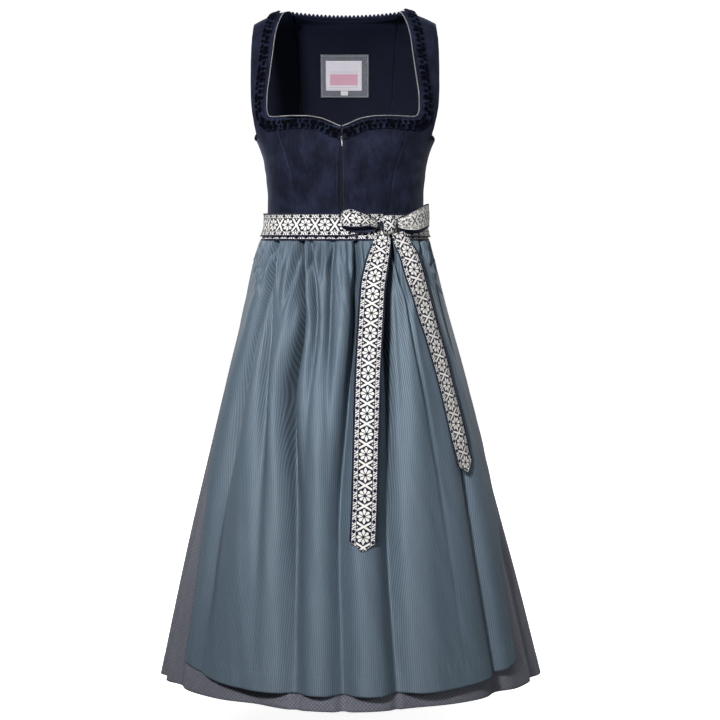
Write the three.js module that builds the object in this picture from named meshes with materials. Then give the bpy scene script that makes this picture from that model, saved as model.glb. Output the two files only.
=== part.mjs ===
// A sleeveless midi dirndl with its apron tied on, in the form it has when worn, with no wearer inside.
// Millimetres. +Z is up, the front faces -Y and +X is the wearer's left.
// The origin lies midway between the shoulders, level with the top of the trim there.
import * as THREE from "three";

// Driving dimensions
const waist_drop = 363;
const bodice_drop = 347;
const apron_top = 367;
const hem_drop = 1061;
const apron_drop = 1036;
const neck_half = 91.5;
const shoulder = { neck_drop: 6.7, slope: 0.26, round: 0.0028 };
const torso_middle = 2.8;
const seam_gap = 0.4;
const layer_gap = 0.4;
const bodice_wall = 2.2;
const back_wall = 1.6;
const lining_wall = 1;
const skirt_wall = 1.6;
const apron_wall = 1.6;
const ribbon_wall = 1.8;
const apron_gathers = 42;
const back_gathers = 30;

// The front's middle line lies this far to the wearer's right of the torso's middle
const front_shift = 5.6;

// Form of the torso, by the drop below the shoulder line
const torso_rows = [
  { drop: 0, half_width: 166, front: 0, back: 0 },
  { drop: 2, half_width: 166, front: 14, back: 30 },
  { drop: 7, half_width: 166, front: 27, back: 56 },
  { drop: 13, half_width: 166, front: 36, back: 69 },
  { drop: 25.5, half_width: 166, front: 50, back: 82 },
  { drop: 59, half_width: 165, front: 74, back: 98 },
  { drop: 98.5, half_width: 162, front: 95, back: 107 },
  { drop: 142.5, half_width: 156, front: 111, back: 112 },
  { drop: 177, half_width: 147, front: 119, back: 111 },
  { drop: 211, half_width: 134, front: 125, back: 108 },
  { drop: 231.5, half_width: 128, front: 127, back: 105.5 },
  { drop: 261, half_width: 124, front: 122, back: 101 },
  { drop: 295.5, half_width: 121.4, front: 113, back: 96 },
  { drop: 330, half_width: 121.8, front: 106, back: 92 },
  { drop: 363, half_width: 123.6, front: 104, back: 91 },
];
const front_roundness = 0.7;
const back_roundness = 0.8;
const cup = { side: 72, drop: 228.5, width: 38, height: 45, depth: 7 };

// Form that the skirt hangs in, by the drop below the shoulder line
const skirt_rows = [
  { drop: 347, half_width: 123, middle: 2.8, front: 104.9, back: 91.4, roundness: 0.75 },
  { drop: 357, half_width: 125.5, middle: 2.2, front: 107.5, back: 94, roundness: 0.76 },
  { drop: 367, half_width: 129, middle: 1.5, front: 111.5, back: 98, roundness: 0.78 },
  { drop: 382, half_width: 133.5, middle: 0.8, front: 119.5, back: 106, roundness: 0.8 },
  { drop: 398, half_width: 138, middle: 0.5, front: 127.5, back: 115, roundness: 0.83 },
  { drop: 438, half_width: 148, middle: 0.5, front: 144, back: 134, roundness: 0.9 },
  { drop: 478, half_width: 158, middle: 0.8, front: 158, back: 149, roundness: 0.95 },
  { drop: 558, half_width: 180, middle: 1.4, front: 177, back: 172, roundness: 1 },
  { drop: 718.5, half_width: 221, middle: 3.2, front: 211, back: 212, roundness: 1.05 },
  { drop: 881, half_width: 263.5, middle: 5.6, front: 244, back: 248, roundness: 1.14 },
  { drop: 1061, half_width: 306, middle: 9, front: 276, back: 285, roundness: 1.34 },
];

// Sideways places and depths of the apron's folds, at five drops below the shoulder line
const fold_drops = [367, 475, 615, 797, 1036];
const apron_folds = [
  { side: [-101, -125, -158, -190, -215], depth: [3, 9, 8, 5, 4], width: [6, 9, 16, 24, 30] },
  { side: [-103, -104, -106, -108, -110], depth: [0, 6, 3, 0, 0], width: [6, 8, 10, 12, 12] },
  { side: [-63, -62, -77, -67, -68], depth: [3, 12, 14, 12, 9], width: [6, 8, 14, 18, 20] },
  { side: [-49, -41, -52, -60, -60], depth: [2, 7, 3, 0, 0], width: [5, 8, 12, 14, 14] },
  { side: [-17, -20, -23, -23, -23], depth: [2, 6, 2, 0, 0], width: [5, 8, 12, 14, 14] },
  { side: [15, 15, 5, -7, 0], depth: [3, 11, 11, 9, 10], width: [6, 8, 12, 16, 20] },
  { side: [74, 69, 72, 70, 82], depth: [4, 14, 12, 12, 10], width: [8, 11, 14, 18, 20] },
  { side: [82, 84, 90, 90, 90], depth: [0, 4, 3, 0, 0], width: [6, 7, 10, 12, 12] },
  { side: [115, 130, 168, 195, 233], depth: [3, 8, 7, 6, 6], width: [5, 8, 12, 14, 16] },
];

// Folds of the skirt, by angle from the centre front in degrees, where they begin and how deep they get at the hem
const skirt_folds = [
  { waist: -64, hem: -62, from: 600, depth: 9, width: 22 },
  { waist: -30, hem: -28, from: 620, depth: 12, width: 42 },
  { waist: 18, hem: 20, from: 650, depth: 9, width: 46 },
  { waist: 48, hem: 50, from: 620, depth: 13, width: 24 },
  { waist: 76, hem: 74, from: 480, depth: 9, width: 22 },
  { waist: 101, hem: 103, from: 420, depth: 19, width: 26 },
  { waist: 119, hem: 119, from: 400, depth: 26, width: 24 },
  { waist: 136, hem: 135, from: 410, depth: 22, width: 28 },
  { waist: 155, hem: 153, from: 395, depth: 30, width: 26 },
  { waist: 172, hem: 174, from: 405, depth: 24, width: 24 },
  { waist: 190, hem: 193, from: 395, depth: 29, width: 28 },
  { waist: 209, hem: 213, from: 410, depth: 23, width: 26 },
  { waist: 229, hem: 231, from: 400, depth: 28, width: 28 },
  { waist: 247, hem: 249, from: 420, depth: 20, width: 24 },
  { waist: 265, hem: 267, from: 440, depth: 18, width: 30 },
  { waist: 284, hem: 283, from: 500, depth: 10, width: 22 },
];

// Side edges of the apron, by angle from the centre front in degrees
const apron_edges = [
  { drop: 367, right: -96, left: 96 },
  { drop: 440, right: -87, left: 93 },
  { drop: 512, right: -76, left: 90 },
  { drop: 631, right: -71, left: 86 },
  { drop: 695.5, right: -69, left: 82 },
  { drop: 771.5, right: -64, left: 76 },
  { drop: 852.5, right: -60.5, left: 67 },
  { drop: 928.5, right: -58, left: 61 },
  { drop: 1035.5, right: -57, left: 59 },
];

// How far the apron stands off the skirt's form, and how high its gathers are
const apron_stand = [
  { drop: 367, off: 5.2, gather: 2.2 },
  { drop: 385, off: 6, gather: 3.4 },
  { drop: 415, off: 6, gather: 2.8 },
  { drop: 465, off: 5.5, gather: 1.4 },
  { drop: 555, off: 5.5, gather: 0.3 },
  { drop: 695.5, off: 7, gather: 0 },
  { drop: 898, off: 11, gather: 0 },
  { drop: 1061, off: 15, gather: 0 },
];

// Front neckline from the centre to the shoulder, as [x, z] from the front's middle line
const neckline = [
  [0, -194], [8, -191], [17, -187], [32, -181], [55, -177.5], [80, -177], [104, -177.5], [112, -176.5],
  [116.5, -171.5], [118.3, -160], [118, -142.5], [114.8, -116], [110.2, -80.5], [105.6, -43.5], [99.3, -21.5], [91.5, -5],
];

// Rows of each body panel for the wearer's left: its inner edge, then its outer edge, from waist to shoulder
const front_center_rows = [
  { inner: [2.1, -347], outer: [72, -347] },
  { inner: [2.5, -320.5], outer: [73, -317.5] },
  { inner: [3, -293.5], outer: [75.5, -288] },
  { inner: [3.1, -268], outer: [80, -259] },
  { inner: [2.6, -242.5], outer: [88, -232.5] },
  { inner: [1.8, -218.5], outer: [97, -205] },
  { inner: [1.2, -194.5], outer: [104, -177.5] },
];
const front_side_rows = [
  { inner: [72, -347], outer: [125, -347] },
  { inner: [73, -317.5], outer: [124, -317.5] },
  { inner: [75.5, -288], outer: [126, -288] },
  { inner: [80, -259], outer: [130, -260] },
  { inner: [88, -232.5], outer: [136, -234.5] },
  { inner: [97, -205], outer: [142, -211] },
  { inner: [104, -177.5], outer: [135.8, -203] },
  { inner: [112, -176.5], outer: [138.4, -191] },
  { inner: [116.5, -171.5], outer: [141.6, -175] },
  { inner: [118.3, -160], outer: [144.6, -155.5] },
  { inner: [116.9, -133], outer: [146, -128] },
  { inner: [112.5, -98.5], outer: [146.2, -98.5] },
  { inner: [108.1, -63], outer: [146, -73] },
  { inner: [103.8, -35.5], outer: [145.2, -52] },
  { inner: [98.2, -18.5], outer: [144, -39.5] },
  { inner: [91.5, -5], outer: [142.5, -24] },
];
const back_center_rows = [
  { inner: [0, -347], outer: [55, -347] },
  { inner: [0, -295.5], outer: [59, -295.5] },
  { inner: [0, -256.5], outer: [64, -258] },
  { inner: [0, -218.5], outer: [69, -221.5] },
  { inner: [0, -185], outer: [72, -189] },
  { inner: [0, -155.5], outer: [74.3, -159.5] },
  { inner: [0, -125], outer: [76.6, -128] },
  { inner: [0, -91.5], outer: [78.8, -92.5] },
  { inner: [0, -60], outer: [80.3, -57] },
  { inner: [0, -33.5], outer: [82.6, -27.5] },
  { inner: [0, -12], outer: [84.5, -8.5] },
];
const back_side_rows = [
  { inner: [55, -347], outer: [125, -347] },
  { inner: [59, -295.5], outer: [125, -297.5] },
  { inner: [64, -258], outer: [130, -258] },
  { inner: [69, -221.5], outer: [136, -232.5] },
  { inner: [72, -189], outer: [142, -211] },
  { inner: [74.3, -159.5], outer: [136, -202] },
  { inner: [76.6, -128], outer: [139.4, -185] },
  { inner: [78.8, -92.5], outer: [144.6, -155.5] },
  { inner: [80.3, -57], outer: [146.2, -110] },
  { inner: [82.6, -27.5], outer: [145.8, -69] },
  { inner: [84.5, -8.5], outer: [144, -40.5] },
  { inner: [91.5, -5], outer: [142.5, -24] },
];

const degrees = Math.PI / 180;
const half_turn = (turn) => ((((turn + 180) % 360) + 360) % 360) - 180;
const point = (x, y, z) => new THREE.Vector3(x, y, z);
const mix = THREE.MathUtils.lerp;

// A smooth curve through a table's rows, which doesn't overshoot them
function curve(rows, key, value) {
  const at = rows.map((row) => row[key]);
  const height = rows.map((row) => row[value]);
  const steps = at.slice(1).map((a, i) => (height[i + 1] - height[i]) / (a - at[i]));
  const slopes = height.map((_, i) => {
    const before = steps[i - 1] ?? steps[0];
    const after = steps[i] ?? steps[i - 1];
    return before * after > 0 ? (2 * before * after) / (before + after) : 0;
  });
  return (where) => {
    const x = Math.min(Math.max(where, at[0]), at[at.length - 1]);
    const i = Math.max(0, Math.min(at.length - 2, at.findLastIndex((a) => a <= x)));
    const span = at[i + 1] - at[i];
    const t = (x - at[i]) / span;
    const rise = height[i + 1] - height[i];
    const bend = (1 - t) * (slopes[i] * span - rise) - t * (slopes[i + 1] * span - rise);
    return height[i] + rise * t + t * (1 - t) * bend;
  };
}

// A smooth path through hand-set points, from 0 at the first to 1 at the last
function path(points) {
  const rows = points.map((p, i) => ({ i, ...p }));
  const parts = Object.keys(points[0]).map((k) => curve(rows, "i", k));
  return (t) => parts.map((part) => part(t * (points.length - 1)));
}

// Torso: its tables are read by the square root of the drop, so that the shoulders come out round
const torso_depth = torso_rows.map((row) => ({ ...row, root: Math.sqrt(row.drop / waist_drop) }));
const torso_half = curve(torso_depth, "root", "half_width");
const torso_front = curve(torso_depth, "root", "front");
const torso_back = curve(torso_depth, "root", "back");

function shoulder_drop(x) {
  const out = Math.max(0, Math.abs(x) - neck_half);
  return shoulder.neck_drop + shoulder.slope * out + shoulder.round * out * out;
}

function torso(angle, root) {
  const forward = Math.cos(angle);
  const x = torso_half(root) * Math.sin(angle);
  const share = 1 - root * root;
  const z = -waist_drop * (1 - share) - share * shoulder_drop(x);
  if (forward < 0) return point(x + torso_middle, torso_back(root) * (-forward) ** back_roundness, z);
  const sideways = ((Math.abs(x) - cup.side) / cup.width) ** 2;
  const level = ((z + cup.drop) / cup.height) ** 2;
  const fullness = cup.depth * Math.exp(-sideways - level);
  return point(x + torso_middle, -torso_front(root) * forward ** front_roundness - fullness, z);
}

function torso_normal(angle, root) {
  const step = 1e-3;
  const across = torso(angle + step, root).sub(torso(angle - step, root));
  const down = torso(angle, root + step).sub(torso(angle, Math.max(0, root - step)));
  return down.cross(across).normalize();
}

// Angle and root of the torso's point with this x and z, on the front or the back
function torso_place(x, z, on_back) {
  let root = 0.5;
  let reach = Math.abs(x - torso_middle);
  for (let i = 0; i < 12; i++) {
    const share = (z + waist_drop) / (waist_drop - shoulder_drop(reach));
    root = Math.sqrt(Math.max(0, 1 - share));
    reach = Math.min(Math.abs(x - torso_middle), torso_half(root));
  }
  const angle = Math.asin(Math.min(1, reach / torso_half(root))) * Math.sign(x - torso_middle || 1);
  return [on_back ? Math.PI - angle : angle, root];
}

// A point lifted off the torso
function over_torso(x, z, lift, on_back) {
  const place = torso_place(x, z, on_back);
  return torso(...place).addScaledVector(torso_normal(...place), lift);
}

// Where a distance from the front's middle line falls, on the wearer's right (side -1) or left (side 1)
const from_middle = (x, side) => torso_middle + side * x - front_shift * (1 - Math.min(1, x / 150) ** 4);
const front_place = (x, z, side) => torso_place(from_middle(x, side), z, false);
const back_place = (x, z, side) => torso_place(torso_middle + side * x, z, true);
const front_line = from_middle(0, 1);

// A closed solid from points and triangles, turned so that its faces point out
function solid(points, triangles) {
  const volume = triangles.reduce((sum, [a, b, c]) => {
    return sum + points[a].dot(points[b].clone().cross(points[c]));
  }, 0);
  const index = triangles.flatMap(([a, b, c]) => (volume < 0 ? [a, c, b] : [a, b, c]));
  const geometry = new THREE.BufferGeometry();
  geometry.setAttribute("position", new THREE.Float32BufferAttribute(points.flatMap((p) => p.toArray()), 3));
  geometry.setIndex(index);
  geometry.computeVertexNormals();
  return geometry;
}

// A wall between an inner and an outer surface, each a function of column and row
function wall(columns, rows, inner, outer) {
  const points = [];
  const triangles = [];
  for (const surface of [inner, outer]) {
    for (let j = 0; j <= rows; j++) {
      for (let i = 0; i <= columns; i++) points.push(surface(i / columns, j / rows, i, j));
    }
  }
  const layer = (columns + 1) * (rows + 1);
  const at = (side, i, j) => side * layer + j * (columns + 1) + i;
  const quad = (a, b, c, d) => triangles.push([a, b, c], [a, c, d]);
  for (let j = 0; j < rows; j++) {
    for (let i = 0; i < columns; i++) {
      quad(at(0, i, j), at(0, i, j + 1), at(0, i + 1, j + 1), at(0, i + 1, j));
      quad(at(1, i, j), at(1, i + 1, j), at(1, i + 1, j + 1), at(1, i, j + 1));
    }
  }
  for (let j = 0; j < rows; j++) {
    quad(at(0, 0, j), at(1, 0, j), at(1, 0, j + 1), at(0, 0, j + 1));
    quad(at(0, columns, j), at(0, columns, j + 1), at(1, columns, j + 1), at(1, columns, j));
  }
  for (let i = 0; i < columns; i++) {
    quad(at(0, i, 0), at(0, i + 1, 0), at(1, i + 1, 0), at(1, i, 0));
    quad(at(0, i, rows), at(1, i, rows), at(1, i + 1, rows), at(0, i + 1, rows));
  }
  return solid(points, triangles);
}

// A strip with a relief on its outside and a plain inside, which has points along its two edges alone
function raised_strip(columns, rows, inner, outer) {
  const points = [];
  const triangles = [];
  for (let j = 0; j <= rows; j++) {
    for (let i = 0; i <= columns; i++) points.push(outer(i / columns, j / rows, i, j));
  }
  const first = points.length;
  for (const j of [0, 1]) {
    for (let i = 0; i <= columns; i++) points.push(inner(i / columns, j, i));
  }
  const top = (i, j) => j * (columns + 1) + i;
  const base = (i, j) => first + j * (columns + 1) + i;
  const quad = (a, b, c, d) => triangles.push([a, b, c], [a, c, d]);
  for (let i = 0; i < columns; i++) {
    for (let j = 0; j < rows; j++) quad(top(i, j), top(i + 1, j), top(i + 1, j + 1), top(i, j + 1));
    quad(base(i, 0), base(i, 1), base(i + 1, 1), base(i + 1, 0));
    quad(base(i, 0), base(i + 1, 0), top(i + 1, 0), top(i, 0));
    quad(base(i, 1), top(i, rows), top(i + 1, rows), base(i + 1, 1));
  }
  for (const [i, turned] of [[0, false], [columns, true]]) {
    const fan = [];
    for (let j = 0; j < rows; j++) fan.push([base(i, 0), top(i, j), top(i, j + 1)]);
    fan.push([base(i, 0), top(i, rows), base(i, 1)]);
    for (const [a, b, c] of fan) triangles.push(turned ? [a, c, b] : [a, b, c]);
  }
  return solid(points, triangles);
}

// Cloth colours
const materials = {
  velvet: new THREE.MeshStandardMaterial({ color: 0x1d2138, roughness: 0.9, metalness: 0 }),
  lining: new THREE.MeshStandardMaterial({ color: 0x131726, roughness: 0.75, metalness: 0 }),
  trim: new THREE.MeshStandardMaterial({ color: 0x171b2e, roughness: 0.8, metalness: 0 }),
  piping: new THREE.MeshStandardMaterial({ color: 0xb4b0ac, roughness: 0.5, metalness: 0 }),
  skirt: new THREE.MeshStandardMaterial({ color: 0x58586a, roughness: 0.85, metalness: 0 }),
  apron: new THREE.MeshStandardMaterial({ color: 0x4d6272, roughness: 0.6, metalness: 0 }),
  ribbon: new THREE.MeshStandardMaterial({ color: 0xd8d4c8, roughness: 0.8, metalness: 0 }),
  patch: new THREE.MeshStandardMaterial({ color: 0x6a6d78, roughness: 0.85, metalness: 0 }),
  label: new THREE.MeshStandardMaterial({ color: 0xe4e0e6, roughness: 0.55, metalness: 0 }),
  tape: new THREE.MeshStandardMaterial({ color: 0x0f1118, roughness: 0.8, metalness: 0 }),
  metal: new THREE.MeshStandardMaterial({ color: 0xb8b8bc, roughness: 0.3, metalness: 1 }),
};

const dress = new THREE.Group();

function add(name, material, geometry) {
  const mesh = new THREE.Mesh(geometry, materials[material]);
  mesh.name = name;
  dress.add(mesh);
}

const sides = [["right", -1], ["left", 1]];
const lining_face = -1.4 - lining_wall;

// A body panel between its inner and outer edges, lifted off the torso by low and high
function panel(rows, columns, steps, low, high, on_back, side, inset = seam_gap / 2) {
  const inner_edge = path(rows.map((row) => ({ x: row.inner[0], z: row.inner[1] })));
  const outer_edge = path(rows.map((row) => ({ x: row.outer[0], z: row.outer[1] })));
  const away = on_back ? seam_gap / 2 : -seam_gap / 2;
  const surface = (lift) => (u, v) => {
    const [inner_x, inner_z] = inner_edge(v);
    const [outer_x, outer_z] = outer_edge(v);
    const find = on_back ? back_place : front_place;
    const start = find(inner_x + inset, inner_z, side);
    const end = find(outer_x - inset, outer_z, side);
    const place = [mix(start[0], end[0], u), mix(start[1], end[1], u)];
    const p = torso(...place).addScaledVector(torso_normal(...place), lift);
    p.y += away;
    return p;
  };
  return wall(columns, steps, surface(low), surface(high));
}

// The back panel is cut in one piece, so its two halves meet on the centre line
function back_center(columns, steps, low, high, inset = seam_gap / 2) {
  const half_row = path(back_center_rows.map((row) => ({ mid: row.inner[1], x: row.outer[0], z: row.outer[1] })));
  const surface = (lift) => (u, v) => {
    const [mid_z, edge_x, edge_z] = half_row(v);
    const across = 2 * u - 1;
    const x = across * (edge_x - inset);
    const p = over_torso(torso_middle + x, mix(mid_z, edge_z, across * across), lift, true);
    p.y += seam_gap / 2;
    return p;
  };
  return wall(columns, steps, surface(low), surface(high));
}

for (const [name, side] of sides) {
  add(`front_center_${name}`, "velvet", panel(front_center_rows, 7, 6, 0, bodice_wall, false, side));
  add(`front_side_${name}`, "velvet", panel(front_side_rows, 5, 15, 0, bodice_wall, false, side));
  add(`back_side_${name}`, "velvet", panel(back_side_rows, 5, 11, 0, back_wall, true, side));
  const [low, high] = [lining_face, lining_face + lining_wall];
  add(`lining_side_${name}`, "lining", panel(back_side_rows, 3, 11, low, high, true, side, 1));
}
add("back_center", "velvet", back_center(8, 10, 0, back_wall));
add("lining_center", "lining", back_center(6, 10, lining_face, lining_face + lining_wall, 1));

// A point beside the front neckline, this far along it from the middle, moved away from the opening
const neckline_path = path(neckline.map(([x, z]) => ({ x, z })));

function beside_neckline(share, side, away, lift) {
  const step = 0.004;
  const at = (t) => {
    const [x, z] = neckline_path(Math.min(1, Math.max(0, t)));
    return front_place(x, z, side);
  };
  const place = at(share);
  const along = torso(...at(share + step)).sub(torso(...at(share - step)));
  const out = along.cross(torso_normal(...place)).normalize().multiplyScalar(side);
  out.lerp(point(0, 0, -1), Math.max(0, 1 - share / 0.08)).normalize();
  const edge = torso(...place).addScaledVector(out, away);
  const p = over_torso(edge.x, edge.z, lift, false);
  p.y -= seam_gap / 2;
  return p;
}

// Shares of the neckline's points that lie at even steps along it
function even_shares(side, from, to, steps) {
  const fine = 400;
  const lengths = [0];
  for (let i = 1; i <= fine; i++) {
    const step = beside_neckline(i / fine, side, 0, 0).distanceTo(beside_neckline((i - 1) / fine, side, 0, 0));
    lengths.push(lengths[i - 1] + step);
  }
  return Array.from({ length: steps + 1 }, (_, k) => {
    const wanted = mix(from, to, k / steps) * lengths[fine];
    const i = Math.max(1, lengths.findIndex((length) => length >= wanted));
    return (i - 1 + (wanted - lengths[i - 1]) / (lengths[i] - lengths[i - 1])) / fine;
  });
}

// Ruched trim beside the neckline: pinched pleats, with hollows in two staggered rows
const trim = { near: 3.2, far: 20.5, base: 0.9, height: 3.4, pleats: 36, start: 0.016, end: 0.985 };
const trim_across = [0, 0.34, 0.68, 1];

function neck_trim(side) {
  const shares = even_shares(side, trim.start, trim.end, 2 * trim.pleats);
  const floor = bodice_wall + 2 * layer_gap;
  const inner = (u, j, i) => beside_neckline(shares[i], side, j ? trim.far : trim.near, floor);
  const outer = (u, v, i, j) => {
    const last = trim_across.length - 1;
    const hollow = i % 2 === j % 2;
    const edge = j === 0 || j === last;
    const raised = trim.height * (edge ? 0.25 : 1) * (hollow ? 0.12 : 1);
    const wave = edge && !hollow ? Math.sign(j - 1) : 0;
    const away = mix(trim.near, trim.far, trim_across[j]) + wave;
    return beside_neckline(shares[i], side, away, floor + trim.base + raised);
  };
  return raised_strip(2 * trim.pleats, trim_across.length - 1, inner, outer);
}

// Corded piping along the neckline's edge
const piping_radius = 1;

function neck_piping(side) {
  const shares = even_shares(side, 0.004, 0.972, 40);
  const points = shares.map((share) => beside_neckline(share, side, -piping_radius - 0.5, bodice_wall / 2));
  const line = new THREE.CatmullRomCurve3(points, false, "centripetal");
  const round = new THREE.Shape().absarc(0, 0, piping_radius, 0, 2 * Math.PI);
  return new THREE.ExtrudeGeometry(round, { extrudePath: line, steps: 36, curveSegments: 3, bevelEnabled: false });
}

for (const [name, side] of sides) {
  add(`neck_trim_${name}`, "trim", neck_trim(side));
  add(`neck_piping_${name}`, "piping", neck_piping(side));
}

// Picot edging that stands on the back neckline
const picot = { points: 27, tall: 3.6, low: 1.2, wall: 1.2, gap: 1 };

function back_picot() {
  const half_row = back_center_rows[back_center_rows.length - 1];
  const reach = half_row.outer[0] - 1;
  const edge = (u, height, lift) => {
    const across = 2 * u - 1;
    const z = mix(half_row.inner[1], half_row.outer[1], across * across);
    const p = over_torso(torso_middle + across * reach, z, lift, true);
    p.z += picot.gap + height;
    return p;
  };
  const surface = (lift) => (u, v, i) => edge(u, v * (i % 2 ? picot.tall : picot.low), lift);
  return wall(2 * picot.points, 1, surface(0.2), surface(0.2 + picot.wall));
}
add("back_neck_picot", "trim", back_picot());

// Woven label on its patch, inside the back
function inside_back(center_x, center_z, width, height, low, high, columns, rows) {
  const surface = (lift) => (u, v) => {
    return over_torso(center_x + (u - 0.5) * width, center_z + (v - 0.5) * height, lift, true)
      .add(point(0, seam_gap / 2, 0));
  };
  return wall(columns, rows, surface(low), surface(high));
}
const patch_face = lining_face - 1.8;
const label_face = patch_face - 1.4;
add("label_patch", "patch", inside_back(0.8, -98.5, 79.4, 69.4, patch_face - 0.8, patch_face, 8, 4));
add("woven_label", "label", inside_back(-0.8, -97.6, 59.4, 48, label_face - 0.7, label_face, 6, 3));
add("size_tab", "label", inside_back(0, -125.8, 11.6, 7, label_face - 0.7, label_face, 2, 1));

// Front zip: the tape behind the slit, the slider near its top, and the pull that hangs from the slider
const slider = { top: -201, bottom: -210, width: 2.2 };
const pull = { top: -208.6, length: 14, width: 2.4, wall: 1, lean: 0.09 };

function zip_tape() {
  const heights = front_center_rows.map((row) => ({ z: row.inner[1] }));
  const height = path(heights);
  const surface = (lift) => (u, v) => over_torso((u - 0.5) * 22 + front_line, height(v)[0] - 0.8, lift, false);
  return wall(2, heights.length - 1, surface(-1.6), surface(-0.6));
}

const tape_front = over_torso(front_line, slider.bottom, 0, false).y;
const pull_back = tape_front - bodice_wall - 2.4;
add("zip_tape", "tape", zip_tape());

function zip_slider() {
  const front = pull_back + 1;
  const back = tape_front - 0.3;
  const body = new THREE.BoxGeometry(slider.width, back - front, slider.top - slider.bottom);
  return body.translate(front_line, (front + back) / 2, (slider.top + slider.bottom) / 2);
}
add("zip_slider", "metal", zip_slider());

function zip_pull() {
  const half = pull.width / 2;
  const outline = new THREE.Shape();
  outline.absarc(0, 0, half * 0.85, 0, Math.PI, false);
  outline.lineTo(-half * 0.6, -pull.length * 0.45);
  outline.absarc(0, half - pull.length, half, Math.PI, 2 * Math.PI, false);
  outline.lineTo(half * 0.6, -pull.length * 0.45);
  const eye = new THREE.Path().absarc(0, half - pull.length, half * 0.45, 0, 2 * Math.PI, true);
  outline.holes.push(eye);
  const plate = new THREE.ExtrudeGeometry(outline, { depth: pull.wall, curveSegments: 4, bevelEnabled: false });
  plate.rotateX(Math.PI / 2).rotateY(-pull.lean);
  return plate.translate(front_line, pull_back, pull.top);
}
add("zip_pull", "metal", zip_pull());

// Skirt form
const skirt_half = curve(skirt_rows, "drop", "half_width");
const skirt_front = curve(skirt_rows, "drop", "front");
const skirt_back = curve(skirt_rows, "drop", "back");
const skirt_roundness = curve(skirt_rows, "drop", "roundness");
const skirt_middle = curve(skirt_rows, "drop", "middle");

function skirt_form(angle, z) {
  const forward = Math.cos(angle);
  const depth = forward > 0 ? skirt_front(-z) : skirt_back(-z);
  const power = forward > 0 ? skirt_roundness(-z) : Math.min(1, skirt_roundness(-z));
  const y = -Math.sign(forward) * depth * Math.abs(forward) ** power;
  return point(skirt_middle(-z) + skirt_half(-z) * Math.sin(angle), y, z);
}

// A point at this distance outside the skirt's form
function around_skirt(angle, z, away) {
  const step = 2e-3;
  const across = skirt_form(angle + step, z).sub(skirt_form(angle - step, z));
  const out = point(across.y, -across.x, 0).normalize();
  return skirt_form(angle, z).addScaledVector(out, away);
}

// Below the waist the skirt's form, and above it the torso's
function around_waist(angle, z, away) {
  if (-z > bodice_drop) return around_skirt(angle, z, away);
  const root = Math.sqrt(-z / waist_drop);
  return torso(angle, root).setZ(z).addScaledVector(torso_normal(angle, root).setZ(0).normalize(), away);
}

const skirt_radius = (z) => Math.sqrt(skirt_half(-z) * skirt_front(-z));
const stand_off = curve(apron_stand, "drop", "off");
const gather_height = curve(apron_stand, "drop", "gather");
const right_edge = curve(apron_edges, "drop", "right");
const left_edge = curve(apron_edges, "drop", "left");
const side_angle = (x, z) => Math.asin(Math.max(-1, Math.min(1, (x - skirt_middle(-z)) / skirt_half(-z))));
const bump = (distance, width) => Math.exp(-((distance / width) ** 2));

const fold_curves = apron_folds.map((fold) => {
  const rows = fold_drops.map((drop, i) => ({
    drop, side: fold.side[i], depth: fold.depth[i], width: fold.width[i],
  }));
  return ["side", "depth", "width"].map((key) => curve(rows, "drop", key));
});

// How far the apron's folds go in at this angle and height
function apron_hollow(angle, z) {
  return fold_curves.reduce((sum, [side, depth, width]) => {
    const place = side_angle(side(-z), z);
    return sum + depth(-z) * bump((angle - place) * skirt_radius(z), width(-z));
  }, 0);
}

// How far the apron stands off at this angle and height, less at its side edges
function apron_off(angle, z) {
  const right = right_edge(-z) * degrees;
  const left = left_edge(-z) * degrees;
  const share = Math.min(1, Math.abs((2 * angle - left - right) / (left - right)));
  return mix(stand_off(-z), 4.6, share ** 4);
}

// How far the skirt's own folds go in
function skirt_hollow(angle, z) {
  return skirt_folds.reduce((sum, fold) => {
    const down = Math.min(1, Math.max(0, (-z - fold.from) / (hem_drop - fold.from)));
    const place = mix(fold.waist, fold.hem, down);
    const apart = half_turn(angle / degrees - place);
    const width = fold.width * mix(0.45, 1, down);
    return sum + fold.depth * Math.sqrt(down) * bump(apart * degrees * skirt_radius(z), width);
  }, 0);
}

// Uneven gathers: a wave that differs in height from one to the next
const unevenness = (turns) => 0.72 + 0.2 * Math.sin(turns * 2.9) + 0.16 * Math.sin(turns * 1.37 + 1);
const gather = (turns) => unevenness(turns) * (0.5 - 0.5 * Math.cos(2 * Math.PI * turns));

const skirt_levels = [347.4, 356, 371, 395, 445, 535, 676, 858, 1061];

// How far the skirt goes in under the apron's nearest folds, given the step to the next points
function under_apron(angle, level, step) {
  const above = skirt_levels[Math.max(0, level - 1)];
  const below = skirt_levels[Math.min(skirt_levels.length - 1, level + 1)];
  const here = skirt_levels[level];
  let most = 0;
  for (const drop of [above, mix(above, here, 0.5), here, mix(here, below, 0.33), mix(here, below, 0.67), below]) {
    for (let k = -3; k <= 3; k++) {
      const near = angle + (k / 3) * step;
      const turn = half_turn(near / degrees);
      if (drop < apron_top || turn < right_edge(drop) - 1 || turn > left_edge(drop) + 1) continue;
      const hollow = apron_hollow(turn * degrees, -drop) + gather_height(drop) - apron_off(turn * degrees, -drop);
      most = Math.max(most, hollow + skirt_wall + 1.6);
    }
  }
  return most;
}

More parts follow.
